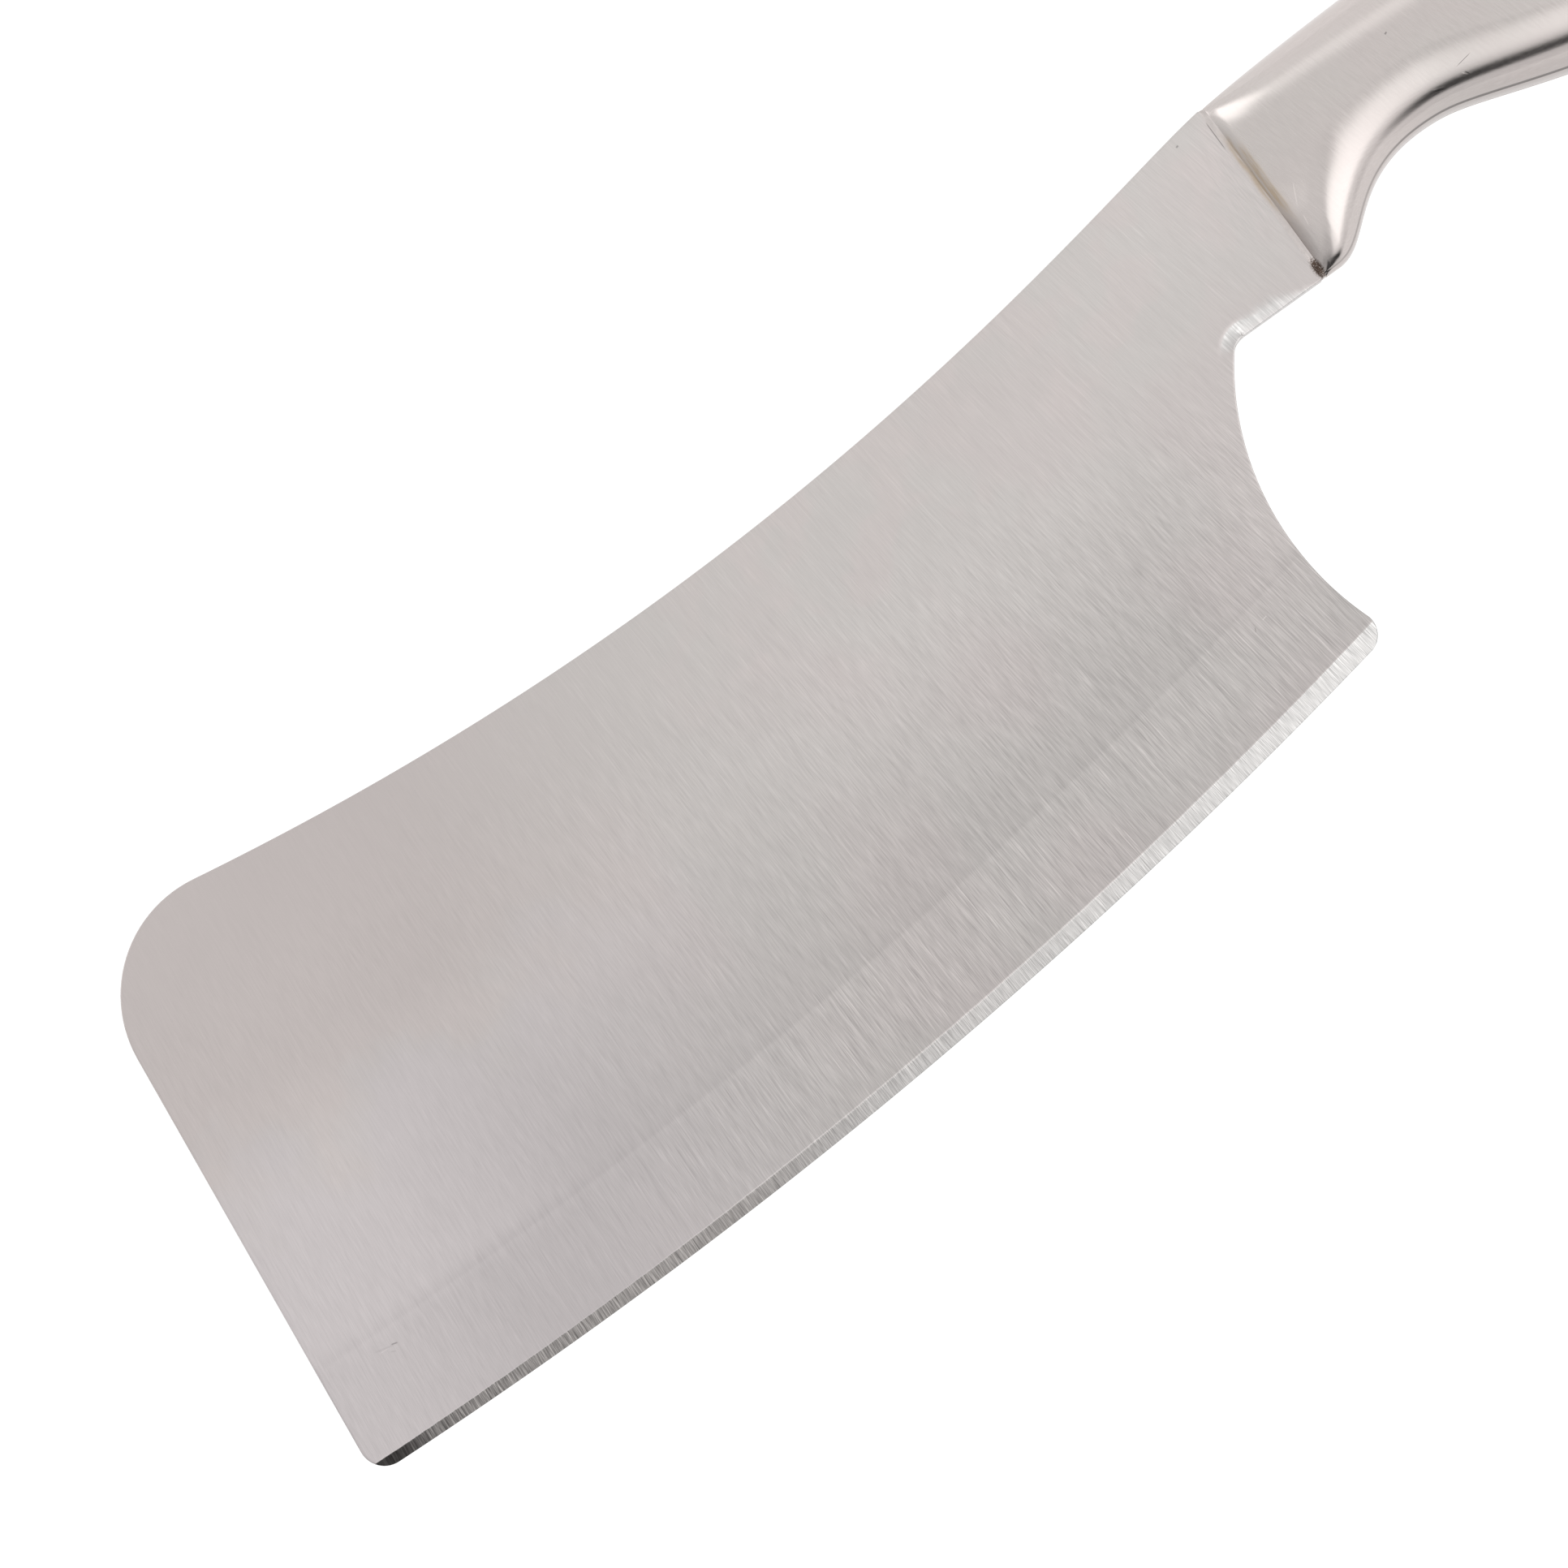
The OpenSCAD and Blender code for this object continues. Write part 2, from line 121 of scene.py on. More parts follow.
class Tree:
    # A shader or geometry node tree with one way to add any node.
    def __init__(self, nodeTree):
        self.nodeTree = nodeTree

    def add(self, kind, settings=None, values=(), output=0):
        node = self.nodeTree.nodes.new(kind)
        for name, value in (settings or {}).items():
            setattr(node, name, value)
        pairs = values.items() if isinstance(values, dict) else enumerate(values)
        for key, value in pairs:
            self.feed(node.inputs[key], value)
        if output is None:
            return node
        return Sock(self, node.outputs[output])

    def feed(self, socket, value):
        if isinstance(value, Sock):
            self.nodeTree.links.new(value.out, socket)
        elif value is not None:
            socket.default_value = value

    def between(self, value, low, high, start=0.0, end=1.0, smooth=True):
        # Goes from start to end as value goes from low to high, and stays there outside
        kind = {"interpolation_type": "SMOOTHSTEP" if smooth else "LINEAR"}
        names = ("Value", "From Min", "From Max", "To Min", "To Max")
        if not isinstance(low, Sock) and low > high:
            low, high, start, end = high, low, end, start
        return self.add("ShaderNodeMapRange", kind, dict(zip(names, (value, low, high, start, end))))

    def zone(self, value, start, full, ending, end):
        # 0 outside start and end, 1 from full to ending
        return self.between(value, start, full) * self.between(value, ending, end, 1.0, 0.0)

    def least(self, a, b):
        return self.add("ShaderNodeMath", {"operation": "MINIMUM"}, [a, b])

    def most(self, a, b):
        return self.add("ShaderNodeMath", {"operation": "MAXIMUM"}, [a, b])

    def ray(self, kind):
        return self.add("ShaderNodeLightPath", output=f"Is {kind} Ray")

    def vector(self, x=0.0, y=0.0, z=0.0):
        return self.add("ShaderNodeCombineXYZ", None, [x, y, z])

    def split(self, vector):
        node = self.add("ShaderNodeSeparateXYZ", None, [vector], output=None)
        return [Sock(self, out) for out in node.outputs]

    def noise(self, vector, scale, detail=2.0, rough=0.5):
        names = {"Vector": vector, "Scale": scale, "Detail": detail, "Roughness": rough}
        return self.add("ShaderNodeTexNoise", {"noise_dimensions": "3D"}, names)

    def mixColour(self, factor, a, b, blend="MIX"):
        settings = {"data_type": "RGBA", "blend_type": blend}
        return self.add("ShaderNodeMix", settings, {0: factor, 6: a, 7: b}, output=2)


def emptied(owner):
    # The node tree of a material or of the world, without its first nodes
    owner.use_nodes = True
    owner.node_tree.nodes.clear()
    return owner.node_tree


def newGeometryTree(name, sizes):
    # Starts a geometry node group with named inputs, and returns the tree, its inputs and its end
    group = bpy.data.node_groups.new(name, "GeometryNodeTree")
    face = group.interface
    face.new_socket(name="Geometry", in_out="INPUT", socket_type="NodeSocketGeometry")
    for key, value in sizes.items():
        kind = "NodeSocketInt" if isinstance(value, int) else "NodeSocketFloat"
        face.new_socket(name=key, in_out="INPUT", socket_type=kind).default_value = value
    face.new_socket(name="Material", in_out="INPUT", socket_type="NodeSocketMaterial")
    face.new_socket(name="Geometry", in_out="OUTPUT", socket_type="NodeSocketGeometry")
    tree = Tree(group)
    start = tree.add("NodeGroupInput", output=None)
    return tree, {out.name: Sock(tree, out) for out in start.outputs if out.name}


def endGeometryTree(tree, geometry, material):
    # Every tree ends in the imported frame, with real geometry and its material
    moved = tree.add("GeometryNodeTransform", None,
                     {"Geometry": geometry, "Translation": place * mm, "Scale": (mm, mm, mm)})
    real = tree.add("GeometryNodeRealizeInstances", None, [moved])
    done = tree.add("GeometryNodeSetMaterial", None, {"Geometry": real, "Material": material})
    tree.add("NodeGroupOutput", None, [done], output=None)
    return tree.nodeTree


def runGeometryTree(piece, group, sizes, material):
    # Runs the tree on the piece and keeps the result as a plain mesh
    modifier = piece.modifiers.new(group.name, "NODES")
    modifier.node_group = group
    values = {**sizes, "Material": material}
    for item in group.interface.items_tree:
        if item.in_out == "INPUT" and item.name in values:
            modifier[item.identifier] = values[item.name]
    bpy.context.view_layer.update()
    result = piece.evaluated_get(bpy.context.evaluated_depsgraph_get())
    mesh = bpy.data.meshes.new_from_object(result)
    piece.modifiers.clear()
    piece.data = mesh
    piece.data.name = piece.name


def newPiece(name, vertices, faces, material=None, scale=1.0, offset=(0, 0, 0), edges=()):
    mesh = bpy.data.meshes.new(name)
    points = np.asarray(vertices, float) * scale + np.array(offset, float)
    mesh.from_pydata(points.tolist(), edges, faces)
    mesh.validate()
    mesh.shade_smooth()
    piece = bpy.data.objects.new(name, mesh)
    bpy.context.scene.collection.objects.link(piece)
    if material:
        mesh.materials.append(material)
    return piece


def finishPiece(piece, slot, *nodes, sharp=35):
    # Edges that turn more than sharp degrees stay crisp under smooth shading
    piece.data.set_sharp_from_angle(angle=math.radians(sharp))
    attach(piece, "root")
    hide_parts(*nodes)


def setAttribute(piece, name, values):
    layer = piece.data.attributes.new(name, "FLOAT", "POINT")
    layer.data.foreach_set("value", np.asarray(values, np.float32))


def linear(colour):
    return [((c + 0.055) / 1.055) ** 2.4 if c > 0.04045 else c / 12.92 for c in colour] + [1.0]


# Blade: sizes, and the points that its outline hangs on
bladeSizes = {
    "length": 180.0, "toeHeight": 77.5, "thickness": 2.2,
    "neckRise": 73.2, "neckHeight": 26.8, "neckLean": 6.2,
    "toeCornerRadius": 16.4, "tipRadius": 3.4,
    "edgeRadius": 705.0, "edgeLean": 3.4, "grindHeight": 15.0,
    "bevelAtToe": 1.32, "bevelAtHeel": 2.45, "bevelAngle": 8.4, "edgeThickness": 0.1,
    "notchRadius": 38.7, "notchReach": 20.3, "notchDrop": 23.3,
    "heelRadius": 3.0, "notchCornerRadius": 2.8,
    "chamferWidth": 2.0, "chamferDepth": 0.35, "chamferLap": 0.06,
    "chamferEnd": (-1.4, 2.0, 1.5),       # where it dies out down the notch, and how fast
    "tangLength": 11.0, "tangBottom": 9.8, "tangTop": 21.8, "tangThickness": 1.4, "tangCorner": 3.0,
    "edgeEase": 0.14,                     # rounding of the plate's cut edges
    "easeRings": (0.25, 0.6, 1.0, 1.7),   # rings of points in and beside that rounding
    "groovePitch": 0.40, "grooveDepth": 0.005,
    "spineAngles": (-3.4, 13.0), "spinePulls": (0.53, 0.11),
}
bs = bladeSizes
neckFoot = np.array([bs["length"], bs["neckRise"]])
neckAlong = polar(bs["neckLean"])
neckUp = leftOf(neckAlong)


def neckPlace(along, up):
    return neckFoot + along * neckAlong + up * neckUp


edgeCentre = bs["edgeRadius"] * leftOf(polar(bs["edgeLean"]))
tipY = edgeCentre[1] - math.sqrt((bs["edgeRadius"] - bs["tipRadius"]) ** 2
                                 - (bs["tipRadius"] - edgeCentre[0]) ** 2)
tipCentre = np.array([bs["tipRadius"], tipY])
notchCentre = neckFoot + np.array([bs["notchRadius"] - bs["notchReach"], -bs["notchDrop"]])
heelCentre = circlesMeet(notchCentre, bs["notchRadius"] + bs["heelRadius"],
                         edgeCentre, bs["edgeRadius"] - bs["heelRadius"])
notchAlong = (notchCentre - neckFoot) @ neckAlong
notchUp = (notchCentre - neckFoot) @ neckUp
cornerAlong = notchAlong - math.sqrt((bs["notchRadius"] - bs["notchCornerRadius"]) ** 2
                                     - (notchUp + bs["notchCornerRadius"]) ** 2)
cornerCentre = neckPlace(cornerAlong, -bs["notchCornerRadius"])
toeCorner = np.array([bs["toeCornerRadius"], bs["toeHeight"] - bs["toeCornerRadius"]])
spineStart = toeCorner + bs["toeCornerRadius"] * leftOf(polar(bs["spineAngles"][0]))
neckTop = neckPlace(0, bs["neckHeight"])
heelX = float(heelCentre[0])


# Steel finishes. Places are in millimetres of the design: across is measured square to the
# brushing and along with it, above from the cutting edge, behind from the joint and rise up it.
# A change has the place where it starts and where it is full, then the values before and after
# it, which are 0 and 1 if not given. A zone has its start, full, fading and end.
steelLooks = {
    "plate": (0.745, 0.727, 0.717), "plateWarm": (0.742, 0.714, 0.707),
    "platePinkReflection": (0.757, 0.726, 0.718), "plateCoolReflection": (0.751, 0.727, 0.728),
    "bevel": (0.735, 0.733, 0.728), "bevelPaintedShade": (0.545, 0.530, 0.522),
    "handle": (0.768, 0.744, 0.731), "handleWarm": (0.768, 0.737, 0.726),
    "ochre": (0.70, 0.64, 0.57), "soot": (0.33, 0.27, 0.23),
    "plateRoughness": 0.32, "bevelRoughness": 0.17, "handleRoughness": 0.13, "weldRoughness": 0.34,
    "brushFan": (4.0, 590.0),      # where the brushed lines would meet, far above the toe
    # brushed lines: how close they lie, how soon they end, shift and detail
    "fineLines": (9.0, 0.34, 0.0, 2.5), "longLines": (9.9, 0.153, 11.0, 1.0),
    "coarseLines": (5.2, 0.06, 31.0, 3.0), "raggedLines": (0.9, 0.05, 23.0, 2.0),
    "satinLines": (4.6, 0.5, 3.0, 3.0),
    # grinding strokes: how close they lie, how soon they end, shift and detail
    "tickStrokes": (3.6, 0.15, 5.0, 3.0), "notchStrokes": (4.0, 0.2, 9.0, 2.0),
    "bumpDepth": 0.02,
}
looks = steelLooks


class SteelTree(Tree):
    # A material's tree with the places that every finish on the knife reads
    def __init__(self, name, marks):
        self.marks = marks
        self.material = bpy.data.materials.new(name)
        super().__init__(emptied(self.material))
        where = self.add("ShaderNodeTexCoord", output=3)
        settings = {"operation": "MULTIPLY_ADD"}
        self.design = self.add("ShaderNodeVectorMath", settings, [where, (1 / mm,) * 3, tuple(-place)])
        self.x, self.y, self.z = self.split(self.design)
        fanX, fanY = self.x - looks["brushFan"][0], looks["brushFan"][1] - self.y
        self.across = fanX.maths("ARCTAN2", fanY) * looks["brushFan"][1]
        self.along = 0 - (fanX * fanX + fanY * fanY) ** 0.5
        dx, dy = self.x - float(edgeCentre[0]), self.y - float(edgeCentre[1])
        self.above = bs["edgeRadius"] - (dx * dx + dy * dy) ** 0.5
        fx, fy = self.x - float(neckFoot[0]), self.y - float(neckFoot[1])
        self.behind = fx * float(neckAlong[0]) + fy * float(neckAlong[1])
        self.rise = fx * float(neckUp[0]) + fy * float(neckUp[1])
        self.front = self.between(self.z, -0.1, 0.1)

    def change(self, value, name):
        return self.between(value, *self.marks[name])

    def area(self, value, name):
        return self.zone(value, *self.marks[name])

    def attribute(self, name):
        return self.add("ShaderNodeAttribute", {"attribute_name": name}, output=2)

    def lines(self, name):
        # Brushing: fine lines that lie along the brushing direction
        width, length, shift, detail = looks[name]
        turned = self.vector(self.across * width + shift, self.along * length, self.z * 0.4 + shift)
        return self.noise(turned, 1.0, detail, 0.55)

    def strokes(self, name):
        width, length, shift, detail = looks[name]
        return self.noise(self.vector(self.across * width, self.along * length, shift), 1.0, detail, 0.6)

    def tinted(self, colour, *tints):
        # The colour with tints over it, each with its share and its name
        for share, name in tints:
            colour = self.mixColour(share, colour, linear(looks[name]))
        return colour

    def warmed(self, factor, name):
        # A finish's colour mixed towards its warmer one; on the blade and shells that mix is painted
        # reflection
        return self.mixColour(factor, linear(looks[name]), linear(looks[name + "Warm"]))

    def scratched(self, level):
        # Fine marks, each from a point, at an angle in the plane, that fade at both ends
        for x, y, angle, length, width, change in self.marks["scratches"]:
            c, s = math.cos(math.radians(angle)), math.sin(math.radians(angle))
            fx, fy = self.x - x, self.y - y
            run = self.zone(fx * c + fy * s, 0, length * 0.3, length * 0.7, length)
            off = (fy * c - fx * s).maths("ABSOLUTE")
            level = level + run * self.between(off, width * 0.5, width * 0.2) * self.front * change
        return level

    def finish(self, colour, level, roughness, bump, strength):
        grey = self.add("ShaderNodeCombineColor", None, [level] * 3)
        sizes = {"Strength": strength, "Distance": looks["bumpDepth"] * mm, "Height": bump}
        shader = self.add("ShaderNodeBsdfPrincipled", None, {
            "Base Color": self.mixColour(1.0, colour, grey, "MULTIPLY"),
            "Metallic": 1.0, "Roughness": roughness,
            "Normal": self.add("ShaderNodeBump", None, sizes)})
        self.add("ShaderNodeOutputMaterial", None, [shader], output=None)
        return self.material


jointMarks = {
    # valley beside the joint: painted shade on the blade, painted light on the shells and the weld
    "valley": (-0.4, 0.3, 1.0, 3.6), "valleyRise": (0.5, 5, 22, 25), "valleyPaintedLight": 0.05,
    # lines of heat tint: middle, half width and zone up the joint
    "ochreLines": [(0.70, 0.60, (9.0, 13.0, 20.5, 23.5)), (1.55, 0.65, (8.0, 12.0, 18.0, 21.0))],
    "halo": (0.3, 0.9, 1.6, 2.8), "haloRise": (5, 10, 18, 22), "ochrePatches": (0.35, 0.6, 0.35, 1.0),
    "sootPlace": (0.42, 1.5), "sootEdge": (1.8, 0.9), "sootSpecks": (0.64, 0.52, 0.45, 1.0),
}


def nearJoint(tree):
    # Painted shade and light in the valley beside the joint, and heat tint, which the blade, the weld and the
    # shells share
    marks = jointMarks
    wander = (tree.noise(tree.vector(tree.rise * 0.25, 3.0, 0.0), 1.0, 2.0) - 0.5) * 0.5
    behind = tree.behind + wander
    valley = tree.zone(behind, *marks["valley"]) * tree.zone(tree.rise, *marks["valleyRise"])
    streaks = tree.noise(tree.vector(tree.behind * 5.0, tree.rise * 0.3, 7.0), 1.0, 3.0)
    tints = []
    for middle, width, reach in marks["ochreLines"]:
        off = (behind - middle).maths("ABSOLUTE")
        tints.append(tree.between(off, width, width * 0.25) * tree.zone(tree.rise, *reach))
    halo = tree.zone(behind, *marks["halo"]) * tree.zone(tree.rise, *marks["haloRise"])
    ochre = tree.most(*tints) * 0.75 + halo * 0.28
    ochre = ochre * tree.between(streaks, *marks["ochrePatches"]) * tree.front
    sx, sy = marks["sootPlace"]
    off = (((tree.behind - sx) * 2.1) ** 2.0 + (tree.rise - sy) ** 2.0) ** 0.5
    specks = tree.noise(tree.vector(tree.behind * 7.0, tree.rise * 5.0, 1.0), 1.0, 3.0, 0.7)
    soot = tree.between(off + (specks - 0.5) * 2.4, *marks["sootEdge"]) * tree.front
    soot = soot * tree.between(specks, *marks["sootSpecks"])
    return valley, ochre, soot, streaks


bladeMarks = {
    "grindEdge": (17.5, 13.5), "bevelEdge": (-0.004, 0.006),
    "heelward": (30, 85), "toeward": (90, 30), "toMiddle": (70, 100),
    # contrast of the lines, along the blade and up it
    "plateLines": (20, 140, 0.20, 0.58), "spineLines": (56, 76, 1.0, 0.35), "lowLines": (42, 20, 1.0, 1.4),
    "grindLines": (35, 85, 0.30, 0.80), "bevelLines": (0, 110, 2.0, 1.5),
    "coarseUp": (45, 16, 0.06, 0.18), "coarseAlong": (15, 85, 0.3, 1.0),
    "sparks": (0.63, 0.70), "darks": (0.40, 0.28), "ticks": (8, 90, 3.0, 0.50),
    # bevel with painted shade towards the toe and tip, painted highlight on its lip, and the cutting edge
    "toeBevelShade": (24, 9, 0.0, 0.20), "tipBevelShade": (11, 4, 0.0, 0.62),
    "lip": (0.016, 0.004), "lipHighlightToe": (35, 70, 0.05, 0.24), "lipHighlightHeel": (110, 160, 1.0, 0.3),
    "edge": (0.16, 0.05, 0.0, 0.14), "edgeAlong": (60, 110),
    "bevelShadeToe": (54, 84, 1.0, 0.58), "bevelShadeHeel": (80, 165, 1.0, 0.15, False),
    # ground strokes under the neck
    "cutGround": (0.005, 0.05), "cutBright": (0.05, 0.3, 0.0, 0.05),
    "strokeWidth": (-0.6, -8.0, 0.2, 2.9), "strokeFade": (1.0, 0.2), "strokeReach": (-14.0, -9.0, -7.0, -0.4),
    "strokeDrop": (-2.0, 1.4, 0.2, 1.0), "strokes": (0.40, 0.66, -0.04, 0.30),
    # painted shade in the crease at the joint, and streaks beside it
    "crease": (0.17, 0.03), "creaseRise": (20.4, 21.6, 24.4, 25.2),
    "beside": (-7.0, -1.5, -0.6, -0.1), "besideRise": (5, 12, 20, 25),
    # painted reflections: patches of the warmer, pinker and cooler tints
    "warmReflectionPatches": (0.44, 0.62), "warmStreaks": (0.45, 0.65), "pinkReflectionAbove": (32, 50), "coolReflectionBelow": (48, 32),
    "pinkReflectionPatches": (0.48, 0.62), "pinkReflectionSpine": (38, 52),
    # scratches: place x and y, angle, length, width, change of level
    "scratches": [
        (7.3, 13.7, -7.0, 3.6, 0.3, -0.07), (8.0, 13.2, 4.0, 1.6, 0.18, 0.10),
        (9.9, 13.55, -10.0, 1.1, 0.24, -0.34), (9.4, 12.8, -20.0, 0.9, 0.2, -0.10),
        (172.3, 97.1, 20.0, 0.5, 0.34, -0.4), (150.1, 38.0, 70.0, 0.8, 0.16, -0.25),
        (151.6, 39.0, 20.0, 0.9, 0.16, 0.25), (120.0, 31.0, 102.0, 2.4, 0.12, -0.12)],
    # painted shade and light in broad tones: zone along the blade, zone over the edge, change of level
    "paintedShadeAndLight": {
        "grind": ((-20, -10, 300, 310), (-9, -8, 13.5, 17.5), -0.09),
        "grindHeelward": ((5, 35, 300, 310), (-9, -8, 13.5, 17.5), -0.12),
        "nearEdge": ((60, 90, 300, 310), (-9, -8, 2, 9), -0.04),
        "overGrind": ((8, 45, 140, 172), (13.5, 17.5, 20, 46), -0.125),
        "grindLine": ((30, 55, 140, 165), (13.5, 17.5, 19, 26), -0.035),
        "toeTop": ((-20, -10, 30, 85), (34, 52, 300, 310), -0.09),
        "middle": ((15, 45, 75, 110), (18, 40, 300, 310), -0.04),
        "neck": ((130, 165, 300, 310), (40, 60, 300, 310), 0.05),
    },
}


def bladeBrushing(tree, fine, grind, bevel):
    # Brushed lines, coarser on the grind and strongest on the bevel
    x, above = tree.x, tree.above
    long, coarse = tree.lines("longLines"), tree.lines("coarseLines")
    amount = tree.change(x, "plateLines") * tree.change(tree.y, "spineLines") * tree.change(above, "lowLines")
    amount = amount + (tree.change(x, "grindLines") - amount) * grind
    amount = amount + (tree.change(x, "bevelLines") - amount) * bevel
    heelward = tree.change(x, "heelward")
    sparks = tree.change(long, "sparks") * (0.3 + 0.7 * grind) * heelward
    darks = tree.change(long, "darks") * (0.4 + 0.6 * grind) * heelward
    level = 1.0 + (fine - 0.5) * amount + sparks * 0.22 - darks * 0.08
    strong = (tree.change(above, "coarseUp") + grind * 0.30) * tree.change(x, "coarseAlong")
    return level + (coarse - 0.5) * strong * (1 - bevel)


def bladeToneWithPaintedLight(tree, patch, ragged, ticks, bevel):
    # Painted broad shade and light, bevel ticks, painted bevel shade at the toe, painted lip highlight, dark
    # cutting edge
    x, above = tree.x, tree.above
    tone = 1.0 + (patch - 0.5) * 0.08
    raggedAbove = above + ragged * 4.0
    # Painted shade over the grind, middle and toe, and painted light at the neck
    for along, over, change in tree.marks["paintedShadeAndLight"].values():
        tone = tone + tree.zone(x, *along) * tree.zone(raggedAbove, *over) * (1 - bevel) * change
    tone = tone + bevel * (ticks - 0.5) * tree.change(x, "ticks")
    # Painted shade: the bevel darker towards the toe and the tip
    toe = tree.change(x, "toeBevelShade") + tree.change(x, "tipBevelShade")
    tone = tone * (1 - bevel * 0.09) * (1 - bevel * toe)
    # Painted highlight along the bevel's lip, where it meets the grind
    lip = tree.change(tree.attribute("bevelGap").maths("ABSOLUTE"), "lip")
    tone = tone + lip * tree.change(x, "lipHighlightToe") * tree.change(x, "lipHighlightHeel")
    return tone - tree.change(above, "edge") * tree.change(x, "edgeAlong")


def bladeSteel():
    tree = SteelTree("bladeSteel", bladeMarks)
    x, above, behind = tree.x, tree.above, tree.behind
    ragged = tree.lines("raggedLines") - 0.5
    grind = tree.change(above + ragged * 5.0, "grindEdge")
    bevel = tree.change(tree.attribute("bevelGap"), "bevelEdge")
    fine, ticks = tree.lines("fineLines"), tree.strokes("tickStrokes")
    patch = tree.noise(tree.design, 0.035, 1.0)
    tone = bladeToneWithPaintedLight(tree, patch, ragged, ticks, bevel)

    cut = tree.attribute("cut")
    reach = tree.change(behind, "strokeWidth") + ragged * 2.0
    swept = tree.change(tree.rise / reach, "strokeFade") * tree.area(behind, "strokeReach")
    ground = tree.most(tree.change(cut, "cutGround"), swept) * tree.front
    ground = ground * tree.change(tree.rise, "strokeDrop")
    strokes = tree.change(tree.strokes("notchStrokes"), "strokes")
    tone = tree.scratched(tone + ground * (strokes + tree.change(cut, "cutBright")))

    valley, ochre, soot, streaks = nearJoint(tree)
    crease = tree.change(behind.maths("ABSOLUTE"), "crease") * tree.area(tree.rise, "creaseRise") * tree.front
    beside = tree.area(behind, "beside") * tree.area(tree.rise, "besideRise")
    # Painted shade: darker in the valley beside the joint and in its crease
    tone = tone + beside * (streaks - 0.5) * 0.36 - valley * 0.06 - crease * 0.6

    # Painted reflections: warm, pink and cool patches over the plate
    warm = tree.change(patch, "warmReflectionPatches") * 0.7 + beside * tree.change(streaks, "warmStreaks") * 0.6
    toeward = tree.change(x, "toeward")
    reflectionMottle = above + (tree.noise(tree.design, 0.09, 2.0) - 0.5) * 44.0
    pinkReflectionMottles = tree.change(tree.noise(tree.design, 0.13, 2.0), "pinkReflectionPatches") * tree.change(x, "toMiddle")
    # The bevel's darker colour towards the toe is painted shade
    colour = tree.tinted(
        tree.warmed(warm, "plate"),
        (toeward * tree.change(reflectionMottle, "pinkReflectionAbove"), "platePinkReflection"),
        (toeward * tree.change(reflectionMottle, "coolReflectionBelow"), "plateCoolReflection"),
        (pinkReflectionMottles * tree.change(above, "pinkReflectionSpine") * 0.6, "platePinkReflection"),
        (ochre * 0.5, "ochre"), (soot * 0.7, "soot"), (tree.most(bevel, ground) * 0.8, "bevel"),
        (bevel * (tree.change(x, "bevelShadeToe") * tree.change(x, "bevelShadeHeel")), "bevelPaintedShade"))
    rough = looks["plateRoughness"] + (fine - 0.5) * 0.1
    rough = rough + bevel * (looks["bevelRoughness"] - looks["plateRoughness"])
    level = bladeBrushing(tree, fine, grind, bevel) * tone
    return tree.finish(colour, level, rough, fine + bevel * ticks, 0.14)


handleMarks = {
    "roll": (0.02, 0.4), "warmReflectionPatches": (0.4, 0.62),
    "smudgePlace": (1.9, 1.6), "smudge": (1.6, 0.3),
    # painted shade in the hairline beside the belly weld, and the painted shade that the roll has above it
    "hairlineShade": (0.2, 0.75), "hairlineShadeAlong": (188, 200, 0.28, 0.48),
    "underHigh": (0.26, 0.34), "underLow": (0.38, 0.52),
    "underStart": (192, 212, 0.05, 0.19), "underEnd": (228, 250, 1.0, 0.1),
    "scratches": [
        (182.9, 85.9, -108.9, 3.8, 0.22, 0.12), (181.9, 81.5, -92.0, 1.8, 0.20, 0.16),
        (207.9, 87.8, 14.4, 2.6, 0.12, -0.5), (208.2, 86.9, -40.0, 0.9, 0.16, 0.5),
        (208.6, 86.9, -50.0, 0.8, 0.14, -0.6), (203.7, 86.9, -12.0, 2.2, 0.16, 0.5),
        (203.9, 86.6, -12.0, 1.9, 0.12, -0.5), (202.0, 95.8, 30.0, 0.5, 0.32, -0.45)],
}


def handleSteel():
    tree = SteelTree("handleSteel", handleMarks)
    x, y, z = tree.x, tree.y, tree.z
    down = tree.attribute("roll")
    roll = tree.change(down.maths("ABSOLUTE"), "roll")
    satin = tree.lines("satinLines")
    polish = tree.noise(tree.vector(x * 0.45, y * 4.5, z * 4.5), 1.0, 3.0, 0.6)
    grain = satin + (polish - satin) * roll
    patch = tree.noise(tree.design, 0.06, 1.5)
    level = 1.0 + (grain - 0.5) * (0.15 + roll * 0.04) + (patch - 0.5) * 0.05
    level = tree.scratched(level)
    valley, ochre, soot, streaks = nearJoint(tree)
    mx, my = handleMarks["smudgePlace"]
    off = tree.behind - mx
    smudge = (off ** 2.0 + ((tree.rise - my - off * 0.45) * 2.2) ** 2.0) ** 0.5
    smudge = tree.change(smudge, "smudge") * tree.front
    # Painted light: a little brighter in the valley beside the joint
    level = level + valley * jointMarks["valleyPaintedLight"] + valley * (streaks - 0.5) * 0.25 - smudge * 0.15
    # Painted shade along the hairline groove and on the belly roll above it
    hairlineShade = tree.change(tree.attribute("seam"), "hairlineShade") * tree.change(x, "hairlineShadeAlong")
    under = tree.change(down, "underHigh") * 0.5 + tree.change(down, "underLow") * 0.5
    level = level - hairlineShade - under * tree.change(x, "underStart") * tree.change(x, "underEnd")
    # Warmer colour on the rolls and in patches is painted reflection of the room
    colour = tree.warmed(tree.change(patch, "warmReflectionPatches") * 0.6 + roll * 0.4, "handle")
    colour = tree.tinted(colour, (ochre, "ochre"), (soot, "soot"))
    rough = looks["handleRoughness"] + (grain - 0.5) * 0.10 + (1 - roll) * 0.12 + valley * 0.1 + soot * 0.3
    return tree.finish(colour, level, rough, grain, 0.10)


